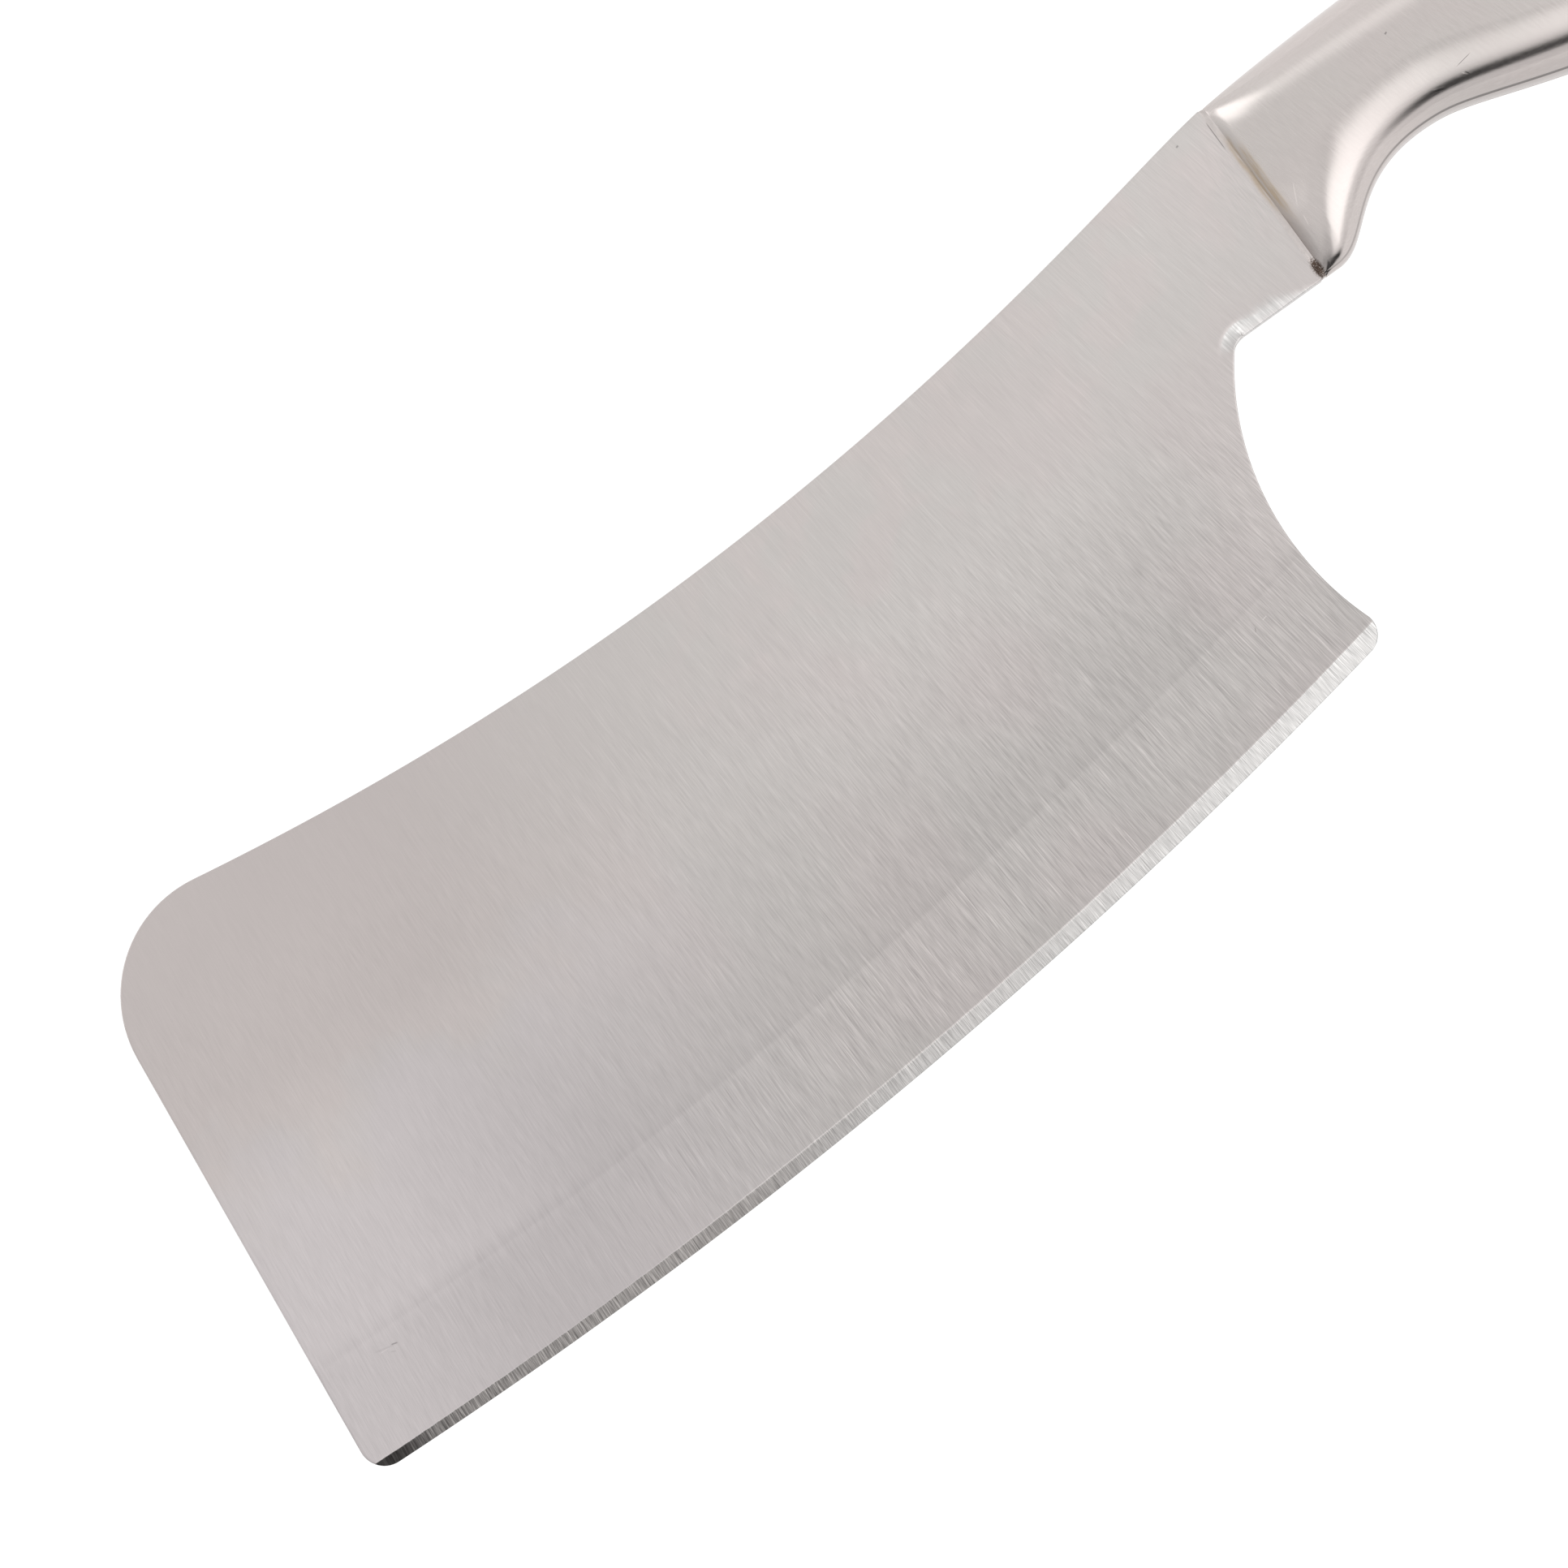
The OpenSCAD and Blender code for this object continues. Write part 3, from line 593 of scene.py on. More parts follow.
def weldSteel():
    tree = SteelTree("weldSteel", jointMarks)
    valley, ochre, soot, streaks = nearJoint(tree)
    ripple = tree.noise(tree.design, 1.8, 3.0, 0.6)
    # Painted light: a little brighter in the valley beside the joint
    level = 1.0 + (ripple - 0.5) * 0.2 + valley * jointMarks["valleyPaintedLight"] + (streaks - 0.5) * 0.2
    colour = tree.tinted(tree.warmed(0.5, "handle"), (ochre, "ochre"), (soot * 0.96, "soot"))
    rough = looks["weldRoughness"] + (ripple - 0.5) * 0.2 + soot * 0.35
    return tree.finish(colour, level, rough, ripple + streaks, 0.4)


bladeLook = bladeSteel()
handleLook = handleSteel()
weldLook = weldSteel()
print("materials made")


def edgeHeight(x, inset):
    # Y of the line that runs this far above the cutting edge
    return edgeCentre[1] - np.sqrt((bs["edgeRadius"] - inset) ** 2 - (x - edgeCentre[0]) ** 2)


def chamferCut(points):
    # Depth of the ground chamfer under the neck: a cone round the corner and a wedge that runs out
    width, slope = bs["chamferWidth"], bs["chamferDepth"] / bs["chamferWidth"]
    fade = math.degrees(math.atan(width / -cornerAlong))
    along = polar(bs["neckLean"] - fade)
    local = points - neckFoot
    down = -(local @ leftOf(along))
    forward = local @ along
    wedge = np.where((forward > cornerAlong) & (down > 0), slope * down, 0)
    wedge = np.where(local @ neckUp > -0.2, wedge, 0)
    reach = bs["notchCornerRadius"] + (1 + bs["chamferLap"]) * width
    cone = slope * (reach - np.linalg.norm(points - cornerCentre, axis=1))
    low, high, power = bs["chamferEnd"]
    cone = cone * np.clip((local @ neckUp - low) / (high - low), 0, 1) ** power
    return np.maximum(np.maximum(wedge, cone), 0)


def bevelHeight(x):
    # The bevel grows wider from the toe to the heel
    return bs["bevelAtToe"] + (bs["bevelAtHeel"] - bs["bevelAtToe"]) * x / heelX


def distanceTo(points, path):
    # Least distance of each point to an open path
    best = np.full(len(points), 1e9)
    for a, b in zip(path[:-1], path[1:]):
        side = b - a
        if not side.any():
            continue
        t = np.clip(((points - a) @ side) / (side @ side), 0, 1)
        best = np.minimum(best, np.linalg.norm(points - (a + t[:, None] * side), axis=1))
    return best


def insideOf(points, loop):
    found = np.zeros(len(points), bool)
    for a, b in zip(loop, np.roll(loop, -1, axis=0)):
        if a[1] == b[1]:
            continue
        crosses = (a[1] > points[:, 1]) != (b[1] > points[:, 1])
        found ^= crosses & (points[:, 0] < (b[0] - a[0]) * (points[:, 1] - a[1]) / (b[1] - a[1]) + a[0])
    return found


def bladeOutline():
    # Counter-clockwise: the cut edges from the heel round to the tip, then the cutting edge
    heelStart = angleOf(heelCentre - edgeCentre)
    heelEnd = angleOf(notchCentre - heelCentre)
    notchEnd = angleOf(cornerCentre - notchCentre)
    tipEnd = angleOf(tipCentre - edgeCentre) + 360
    heel = arc(heelCentre, bs["heelRadius"], heelStart, heelEnd, 14)
    notch = arc(notchCentre, bs["notchRadius"], heelEnd + 180, notchEnd, 60)
    corner = arc(cornerCentre, bs["notchCornerRadius"], notchEnd, 90 + bs["neckLean"], 14)
    under = [mix(corner[-1], neckFoot, i / 24) for i in range(1, 25)]
    lower = heel + notch[1:] + corner[1:] + under
    first, last = bs["spineAngles"]
    spine = curve(spineStart, first, neckTop, last, bs["spinePulls"], 110)[::-1]
    toe = arc(toeCorner, bs["toeCornerRadius"], 90 + first, 180, 26)
    toeLine = [mix(toe[-1], tipCentre - np.array([bs["tipRadius"], 0]), i / 24) for i in range(1, 25)]
    tip = arc(tipCentre, bs["tipRadius"], 180, tipEnd, 14)
    upper = spine + toe[1:] + toeLine + tip[1:]
    return np.array(lower), np.array(upper)


def jointLine():
    # Heights up the joint, with points that close the rounding at both ends and hold the tang
    ease = [bs["edgeEase"] * ring for ring in bs["easeRings"]]
    top = bs["neckHeight"]
    ups = ease + list(np.linspace(1, 9, 9)) + [bs["tangBottom"]]
    ups += list(np.linspace(10.8, 20.8, 11)) + [bs["tangTop"]]
    ups += list(np.linspace(22.6, 25.8, 4)) + [top - e for e in reversed(ease)]
    return ups


def insetPath(path, distance, closeStart, closeEnd):
    # The path moved inwards, its ends on the joint line where it meets it
    way = np.gradient(path, axis=0)
    way /= np.linalg.norm(way, axis=1)[:, None]
    moved = path + distance * np.stack([-way[:, 1], way[:, 0]], axis=1)
    if closeStart is not None:
        moved[0] = closeStart
    if closeEnd is not None:
        moved[-1] = closeEnd
    return moved


# Points of the flat sheet, which its thickness is worked out at: rows at shares of the bevel's
# height, rows above the cutting edge, and closer ones where the chamfer is ground
sheetRows = {
    "bevelShares": (0.05, 0.2, 0.4, 0.6, 0.76, 0.88, 0.95, 1.0, 1.05, 1.1, 1.16, 1.26, 1.45),
    "bevelStep": 0.11, "grindHeights": (4.4, 6.5, 9.0, 12.0), "grindLap": 0.25, "grindStep": 1.2,
    "plateStep": 5.0, "cornerRings": (3.1, 5.6, 0.3), "cornerAngles": (60, 260, 6),
    "underNeck": (-12, 0, 0.5), "underRises": (0.4, 0.8, 1.2, 1.6, 2.1, 2.6), "clearOfRings": 2.4,
}
sr = sheetRows


def rowAbove(xs, inset):
    return np.stack([xs, edgeHeight(xs, inset)], axis=1)


def innerPoints(lower, upper, columns):
    grind, lap = bs["grindHeight"], sr["grindLap"]
    wide, sparse = np.arange(1, 170, sr["grindStep"]), np.arange(2, 180, sr["plateStep"])
    rows = [rowAbove(columns, share * bevelHeight(columns)) for share in sr["bevelShares"]]
    rows += [rowAbove(wide, inset) for inset in (*sr["grindHeights"], grind - lap, grind, grind + lap)]
    rows += [rowAbove(sparse, inset) for inset in np.arange(grind + 4, 100, sr["plateStep"])]
    rows.append([cornerCentre + radius * polar(angle) for radius in np.arange(*sr["cornerRings"])
                 for angle in range(*sr["cornerAngles"])])
    rows.append([neckPlace(along, up) for along in np.arange(*sr["underNeck"]) for up in sr["underRises"]])
    inner = np.concatenate(rows)
    clear = np.minimum(distanceTo(inner, lower), distanceTo(inner, upper))
    inner = inner[clear > sr["clearOfRings"] * bs["edgeEase"]]
    inner = inner[(inner - neckFoot) @ neckAlong < -0.2]
    return inner[insideOf(inner, np.concatenate([lower, upper, rowAbove(columns, 0)[::8]]))]


def makeBlade():
    # The sheet's outline, the rings of its rounding and the points within, joined by triangles
    lower, upper = bladeOutline()
    joint = np.array([neckPlace(0, up) for up in jointLine()])
    columns = np.arange(upper[-1][0], lower[0][0], sr["bevelStep"])[1:-1]
    outline = np.concatenate([lower, joint, upper, rowAbove(columns, 0)])
    points = [outline]
    chains = [list(range(len(outline))) + [0]]
    count = len(outline)
    for k, ring in enumerate(bs["easeRings"]):
        distance = ring * bs["edgeEase"]
        for path in (insetPath(lower, distance, None, joint[k])[:-1],
                     insetPath(upper, distance, joint[-1 - k], None)[1:]):
            points.append(path)
            chains.append(list(range(count, count + len(path))))
            count += len(path)
    points.append(innerPoints(lower, upper, columns))
    edges = [pair for chain in chains for pair in zip(chain[:-1], chain[1:])]
    places = [Vector(point) for point in np.concatenate(points)]
    found, _, triangles, cameFrom, _, _ = delaunay_2d_cdt(places, edges, [], 1, 1e-7)
    sheet = np.array([tuple(v) for v in found])
    back = {old: new for new, olds in enumerate(cameFrom) for old in olds}
    loop = [back[i] for i in range(len(outline))]
    n = len(sheet)
    inset = np.minimum(distanceTo(sheet, lower), distanceTo(sheet, upper))
    vertices = np.zeros((2 * n, 3))
    vertices[:n, :2] = vertices[n:, :2] = sheet
    faces = [tuple(f) if turnsLeft(sheet, f) else tuple(f[::-1]) for f in triangles]
    faces += [tuple(i + n for i in f[::-1]) for f in faces]
    jointStart, jointEnd = len(lower) - 1, len(lower) + len(joint)
    for i in range(len(loop)):
        if not jointStart <= i < jointEnd:
            a, b = loop[i], loop[(i + 1) % len(loop)]
            faces.append((a, a + n, b + n, b))
    return addTang(vertices, faces, loop[jointStart:jointEnd + 1], n, inset, chamferCut(sheet))


def turnsLeft(points, face):
    a, b, c = (points[i] for i in face[:3])
    return (b[0] - a[0]) * (c[1] - a[1]) - (b[1] - a[1]) * (c[0] - a[0]) > 0


def addTang(vertices, faces, line, n, inset, cutAway):
    # Closes the joint face round the tang's foot and adds the tang, which the handle hides
    half = bs["tangThickness"] / 2
    ups = [float((vertices[i, :2] - neckFoot) @ neckUp) for i in line]
    first = min(range(len(ups)), key=lambda i: abs(ups[i] - bs["tangBottom"]))
    last = min(range(len(ups)), key=lambda i: abs(ups[i] - bs["tangTop"]))
    start = len(vertices)
    length, bottom, top, corner = (bs["tang" + word] for word in ("Length", "Bottom", "Top", "Corner"))
    turns = [(corner * math.sin(a), corner * math.cos(a)) for a in np.linspace(0, math.pi / 2, 7)]
    plan = [(0, bottom)]
    plan += [(length - corner + s, bottom + corner - c) for s, c in turns]
    plan += [(length - corner + c, top - corner + s) for s, c in turns]
    plan += [(0, top)]
    flat = np.array([neckPlace(along, up) for along, up in plan])
    m = len(flat)
    extra = np.zeros((2 * m, 3))
    extra[:m, :2] = extra[m:, :2] = flat
    extra[:m, 2], extra[m:, 2] = half, -half
    upper, lower = list(range(start, start + m)), list(range(start + m, start + 2 * m))
    faces.append(tuple(upper))
    faces.append(tuple(lower[::-1]))
    for i in range(m - 1):
        faces.append((upper[i], lower[i], lower[i + 1], upper[i + 1]))
    low, high = line[:first + 1], line[last:]
    faces.append(tuple([*low[::-1], *[i + n for i in low], lower[0], upper[0]]))
    faces.append(tuple([*high[::-1], upper[-1], lower[-1], *[i + n for i in high]]))
    middle = line[first:last + 1]
    faces.append(tuple([*middle[::-1], upper[0], upper[-1]]))
    faces.append(tuple([*[i + n for i in middle], lower[-1], lower[0]]))
    sides = np.concatenate([np.ones(n), -np.ones(n), np.zeros(2 * m)])
    insets = np.concatenate([inset, inset, np.ones(2 * m)])
    cuts = np.concatenate([cutAway, cutAway, np.zeros(2 * m)])
    return np.concatenate([vertices, extra]), faces, sides, insets, cuts


def bladeGrindTree(sizes):
    # Gives the flat sheet its thickness: plate, grind, bevel with its grinding grooves, chamfer
    tree, given = newGeometryTree("bladeGrind", sizes)
    position = tree.add("GeometryNodeInputPosition")
    x, y, z = tree.split(position)
    attribute = {"data_type": "FLOAT"}
    side, inset, cut = (tree.add("GeometryNodeInputNamedAttribute", attribute, {"Name": name})
                        for name in ("side", "inset", "cut"))
    dx, dy = x - given["Edge centre X"], y - given["Edge centre Y"]
    above = given["Edge radius"] - (dx * dx + dy * dy) ** 0.5
    plate = given["Thickness"] * 0.5
    wide = given["Bevel at toe"] + (given["Bevel at heel"] - given["Bevel at toe"]) * x / given["Heel"]
    rise = (above - wide) / (given["Grind height"] - wide)
    edge = given["Edge thickness"] * 0.5
    lip = edge + given["Bevel slope"] * wide
    grind = tree.least(lip + (plate - lip) * rise, plate)
    bevel = edge + given["Bevel slope"] * above
    flat = {"noise_dimensions": "1D"}
    sway = tree.add("ShaderNodeTexNoise", flat, {"W": x * 0.9 + side * 31.0, "Scale": 1.0})
    lean = given["Groove lean"]
    lane = (x + above * lean) / given["Groove pitch"] + sway * 2.2
    cell = lane.maths("FLOOR")
    share = lane - cell
    chance = tree.add("ShaderNodeTexWhiteNoise", flat, {"W": cell + given["Seed"] * 17.0 + side * 101.0})
    hollow = 1 - (share * 2.0 - 1.0) ** 2.0
    swell = tree.add("ShaderNodeTexNoise", flat, {"W": x * 0.35 + side * 7.0, "Scale": 1.0, "Detail": 1.0})
    groove = given["Groove depth"] * ((chance * 0.8 + 0.2) * hollow + swell)
    bevel = bevel - groove
    low = tree.most(tree.least(grind, bevel) - cut, edge * 0.5)
    near = tree.most(1 - inset / given["Edge ease"], 0.0)
    rounded = given["Edge ease"] * (1 - tree.most(1 - near * near, 0.0) ** 0.5)
    half = tree.most(low - rounded, edge * 0.5)
    onSheet = side * side
    height = side * half + (1 - onSheet) * z
    gap = grind - bevel - (1 - onSheet)
    kept = tree.add("GeometryNodeStoreNamedAttribute", attribute,
                    {"Geometry": given["Geometry"], "Name": "bevelGap", "Value": gap})
    moved = {"Geometry": kept, "Position": tree.vector(x, y, height)}
    shaped = tree.add("GeometryNodeSetPosition", None, moved)
    return endGeometryTree(tree, shaped, given["Material"])


grindInputs = {
    "Edge centre X": float(edgeCentre[0]), "Edge centre Y": float(edgeCentre[1]),
    "Edge radius": bs["edgeRadius"], "Thickness": bs["thickness"],
    "Grind height": bs["grindHeight"], "Heel": heelX,
    "Bevel at toe": bs["bevelAtToe"], "Bevel at heel": bs["bevelAtHeel"],
    "Bevel slope": math.tan(math.radians(bs["bevelAngle"])), "Edge thickness": bs["edgeThickness"],
    "Edge ease": bs["edgeEase"],
    "Groove pitch": bs["groovePitch"], "Groove depth": bs["grooveDepth"],
    "Groove lean": 0.2, "Seed": 4,
}
vertices, faces, *attributes = makeBlade()
blade = newPiece("bladePlate", vertices, faces)
for name, values in zip(("side", "inset", "cut"), attributes):
    setAttribute(blade, name, values)
runGeometryTree(blade, bladeGrindTree(grindInputs), grindInputs, bladeLook)
finishPiece(blade, "blade_steel", "blade", sharp=30)
print("blade made:", len(blade.data.vertices), "vertices")


# Handle: two pressed half shells
handleSizes = {
    "length": 120.0, "thickness": 18.8, "noseThickness": 4.7, "swellStart": 1.4,
    "rampRise": 0.5, "rampLength": 1.4, "rampPower": 1.6,
    "slopeLength": 11.0, "bellySlope": 4.2, "spineSlope": 11.0,
    "swellX": 58.0, "buttThickness": 17.6, "wall": 1.0, "shoulderAngle": -16, "guardAngle": 5,
    "crestRise": 7.3, "crestX": 63.0, "buttDrop": 4.2, "shoulderLength": 12.0,
    "guardLength": 2.8, "grooveX": 23.8, "grooveRise": 10.6,
    "palmX": 67.0, "palmRise": 5.2, "waistGap": 28.0, "waistRise": 7.8,
    "hookGap": 8.5, "hookRise": 4.0, "buttRise": 15.3, "buttFlat": 5.0,
    "guardRoll": 8.6, "bellyRoll": 8.2, "neckRoll": 5.4, "spineRoll": 10.0, "buttRoll": 8.0,
    "seam": 0.6, "weldWidth": 0.8, "rimThickness": 1.5,
    "guardPulls": (0.25, 0.62), "palmPulls": (0.15, 0.55), "softPulls": (0.4, 0.45),
    "crestPulls": (0.12, 0.35), "cornerPulls": (0.5, 0.55),
    "bellyTurn": 0.84, "spineTurn": 1.0, "rollLimit": 0.46, "slantLimit": 0.3, "crown": 0.03,
    "rimEase": 0.09, "skin": 0.02,
    "easeHeights": (0.0, 0.03, 0.09, 0.22), "lineShares": (0.17, 0.24, 0.27, 0.295, 0.32, 0.35),
    "lineDepth": 0.035,
    "rampRows": 14, "frontRows": 78, "frontGrowth": 1.15, "palmRows": 80, "buttRows": 22,
    "rollColumns": 18, "flatColumns": 14,
}
hs = handleSizes
buttX = bs["length"] + hs["length"]
crest = np.array([bs["length"] + hs["crestX"], neckTop[1] + hs["crestRise"]])
shoulder = np.array([buttX - hs["shoulderLength"], crest[1] - hs["buttDrop"]])
buttMiddle = np.array([buttX, bs["neckRise"] + hs["buttRise"]])
buttTop = buttMiddle + np.array([0, hs["buttFlat"] / 2])
buttBottom = buttMiddle - np.array([0, hs["buttFlat"] / 2])


def pathThrough(point, angle, *stops):
    # A path from the point through the stops, each with its angle and the pulls of its curve
    path = [point]
    for stop, turned, pulls in stops:
        path += curve(point, angle, stop, turned, hs[pulls], 90)[1:]
        point, angle = stop, turned
    return path


def handlePaths():
    neckSpine = neckPlace(hs["weldWidth"], bs["neckHeight"])
    spine = pathThrough(neckSpine, bs["spineAngles"][1], (crest, 0, "crestPulls"),
                        (shoulder, hs["shoulderAngle"], "softPulls"), (buttTop, -90, "cornerPulls"))
    guard = neckFoot + hs["guardLength"] * neckAlong
    groove = neckFoot + np.array([hs["grooveX"], hs["grooveRise"]])
    palm = neckFoot + np.array([hs["palmX"], hs["palmRise"]])
    waist = np.array([buttX - hs["waistGap"], bs["neckRise"] + hs["waistRise"]])
    hook = np.array([buttX - hs["hookGap"], bs["neckRise"] + hs["hookRise"]])
    belly = pathThrough(guard, hs["guardAngle"], (groove, 0, "guardPulls"), (palm, 0, "palmPulls"),
                        (waist, 0, "softPulls"), (hook, 0, "softPulls"), (buttBottom, 90, "cornerPulls"))
    return np.array(spine), np.array([neckPlace(hs["weldWidth"], 0), *belly])


spinePath, bellyPath = handlePaths()
run = buttX - spinePath[0][0]


def shares(name):
    return np.arange(hs[name]) / hs[name]


def handleRows():
    ramp = hs["rampLength"] * shares("rampRows")
    front = mix(hs["rampLength"], hs["grooveX"], shares("frontRows") ** hs["frontGrowth"])
    palm = mix(hs["grooveX"], run - hs["buttRoll"], shares("palmRows"))
    butt = run - hs["buttRoll"] * (1 - np.sin(math.pi / 2 * np.append(shares("buttRows"), 1)))
    return np.concatenate([ramp, front, palm, butt])


rows = handleRows()


def onPath(path, end):
    xs = mix(path[0][0], buttX, rows / run)
    points = np.stack([xs, np.interp(xs, path[:, 0], path[:, 1])], axis=1)
    points[-1] = end
    return points


def inwardNormals(points, side):
    way = np.zeros_like(points)
    way[1:-1] = points[2:] - points[:-2]
    way[0], way[-1] = (1, 0), (1, 0)
    way /= np.linalg.norm(way, axis=1)[:, None]
    normals = side * np.stack([-way[:, 1], way[:, 0]], axis=1)
    normals[0] = side * neckUp
    normals[-1] = (-1, 0)
    return normals


def swellAt(u):
    return math.sin(math.pi / 2 * min(1, max(0, u) / hs["swellX"]))


def halfThickness(u, slopeLength):
    # A short ramp behind the rim, a gentle slope to the palm swell, then a small fall to the butt
    full = mix(hs["noseThickness"], hs["thickness"] / 2, swellAt(u - hs["swellStart"]))
    full -= hs["rampRise"] * max(0, 1 - u / hs["rampLength"]) ** hs["rampPower"]
    slopeRise = hs["noseThickness"] - hs["rimThickness"] - hs["rampRise"]
    full -= slopeRise * max(0, 1 - u / slopeLength) ** 2
    fall = 0 if u < hs["swellX"] else (1 - math.cos(math.pi * (u - hs["swellX"]) / (run - hs["swellX"]))) / 2
    return mix(full, hs["buttThickness"] / 2, fall)


lineColumn = len(hs["easeHeights"]) + 3      # the hairline beside the seam weld


def rollPlaces(turn, lift):
    # Places round a roll. The first lie at the eased rim and round the hairline
    angle = math.acos(1 - turn)
    n = hs["rollColumns"]
    eases = [rise * min(1, lift / 1.5) / max(lift, 1e-6) for rise in hs["easeHeights"]]
    low = [math.asin(min(1, share * math.sin(angle))) / angle for share in eases + list(hs["lineShares"])]
    shares = low + [mix(low[-1], 1, i / n) for i in range(1, n)]
    return [((1 - math.cos(angle * t)) / turn, math.sin(angle * t) / math.sin(angle)) for t in shares]


def shellRow(s, b, u, end, wall, spineRoll, bellyRoll, buttRoll):
    # The shell rises sooner behind the joint towards the belly and the spine than between them
    half = halfThickness(u, hs["slopeLength"]) - wall
    bellyLift, spineLift = (halfThickness(u, hs[key]) - wall - half for key in ("bellySlope", "spineSlope"))
    tall = np.linalg.norm(b - s)
    sw = min(spineRoll, hs["rollLimit"] * tall) / tall
    bw = min(bellyRoll, hs["rollLimit"] * tall) / tall
    q = (end - u) / buttRoll
    ending = 1 if q >= 1 else math.sqrt(max(0, 1 - (1 - q) ** 2))
    lift = (half - hs["seam"] / 2) * ending
    across = [(sw * p, h) for p, h in rollPlaces(hs["spineTurn"], lift)]
    across += [(mix(sw, 1 - bw, i / hs["flatColumns"]), 1) for i in range(hs["flatColumns"] + 1)]
    across += [(1 - bw * p, h) for p, h in reversed(rollPlaces(hs["bellyTurn"], lift))]
    row = []
    for v, h in across:
        crown = 1 - hs["crown"] * (2 * v - 1) ** 2
        side = 2 * v - 1
        more = (bellyLift if side > 0 else spineLift) * side * side * (3 - 2 * abs(side))
        row.append([*mix(s, b, v), hs["seam"] / 2 + (lift + more * ending) * crown * h])
    return row


def slant(s, b, normal):
    across = (s - b) / np.linalg.norm(s - b)
    return max(hs["slantLimit"], abs(normal @ across))


def handleGrids():
    spine, belly = onPath(spinePath, buttTop), onPath(bellyPath, buttBottom)
    spineNormal, bellyNormal = inwardNormals(spine, -1), inwardNormals(belly, 1)
    outer, inner = [], []
    skin, wall = hs["skin"], hs["wall"]
    for u, s, b, sn, bn in zip(rows, spine, belly, spineNormal, bellyNormal):
        spineSlant, bellySlant = (slant(s + skin * sn, b + skin * bn, normal) for normal in (sn, bn))
        spineRoll = mix(hs["neckRoll"], hs["spineRoll"], swellAt(u))
        bellyRoll = mix(hs["guardRoll"], hs["bellyRoll"], swellAt(u))
        for grid, depth, thick in ((outer, skin, 0), (inner, wall, wall)):
            end = run - thick
            grid.append(shellRow(s + depth * sn, b + depth * bn, u * end / run, end, thick,
                                 (spineRoll - thick) / spineSlant, (bellyRoll - thick) / bellySlant,
                                 hs["buttRoll"] - thick))
    outer, inner = np.array(outer), np.array(inner)
    ease = hs["rimEase"]
    for i in range(len(rows)):
        for normal, columns in ((spineNormal[i], range(0, 8)), (bellyNormal[i], range(-8, 0))):
            for j in columns:
                low = max(0, 1 - (outer[i, j, 2] - hs["seam"] / 2) / ease)
                outer[i, j, :2] += normal * ease * (1 - math.sqrt(max(0, 1 - low * low)))
        outer[i, -1 - lineColumn, :2] += bellyNormal[i] * hs["lineDepth"]
    top = (cadHigh.z - cadLow.z) / mm / 2
    outer[:, :, 2] *= min(1, top / outer[:, :, 2].max())
    return outer, inner, spine, belly, spineNormal, bellyNormal


outerGrid, innerGrid, spineEdge, bellyEdge, spineNormals, bellyNormals = handleGrids()


def shellMesh(outer, inner, mirrored):
    r, c = outer.shape[:2]
    points = np.concatenate([outer.reshape(-1, 3), inner.reshape(-1, 3)])
    half = r * c
    faces = []
    for i in range(r - 1):
        for j in range(c - 1):
            a = i * c + j
            faces.append((a, a + 1, a + c + 1, a + c))
            faces.append((a + half, a + c + half, a + c + 1 + half, a + 1 + half))
    for j in range(c - 1):
        faces.append((j, j + half, j + 1 + half, j + 1))
        a = (r - 1) * c + j
        faces.append((a, a + 1, a + 1 + half, a + half))
    for i in range(r - 1):
        a = i * c
        faces.append((a, a + c, a + c + half, a + half))
        a = i * c + c - 1
        faces.append((a, a + half, a + c + half, a + c))
    if mirrored:
        points = points * np.array([1, 1, -1])
        faces = [f[::-1] for f in faces]
    return points, faces


def rollShares(mesh):
    # How far down a roll: 0 on the flat, 1 at the belly rim and -1 at the spine rim
    height = mesh[:, :, 2] - hs["seam"] / 2
    down = 1 - height / np.maximum(height.max(axis=1), 1e-6)[:, None]
    down[:, :mesh.shape[1] // 2] *= -1
    return down.ravel()


def seamShares(mesh):
    # 1 along the hairline beside the belly weld, where the shells' material paints shade
    shares = np.zeros(mesh.shape[:2])
    shares[:, -1 - lineColumn] = 1
    shares[:, -lineColumn] = shares[:, -2 - lineColumn] = 0.7
    return shares.ravel()


for name, node, mirrored in (("handleShellRight", "handle_shell_right", False),
                             ("handleShellLeft", "handle_shell_left", True)):
    points, faces = shellMesh(outerGrid, innerGrid, mirrored)
    shell = newPiece(name, points, faces, handleLook, mm, place * mm)
    hidden = np.zeros(outerGrid.shape[0] * outerGrid.shape[1])
    setAttribute(shell, "roll", np.concatenate([rollShares(outerGrid), hidden]))
    setAttribute(shell, "seam", np.concatenate([seamShares(outerGrid), hidden]))
    finishPiece(shell, "handle_steel", node, sharp=40)
print("handle shells made:", len(points), "vertices each")


# Weld at the joint: a fillet from the blade's square shoulder up to the shells' rims, round the tang
weldSizes = {
    "rows": 200, "columns": 9, "fillet": 1.35, "ripple": 0.02, "ripplePitch": 0.55,
    "pitPlace": (0.38, 1.45), "pitSize": (0.42, 1.3), "pitDepth": 0.22,
}
ws = weldSizes


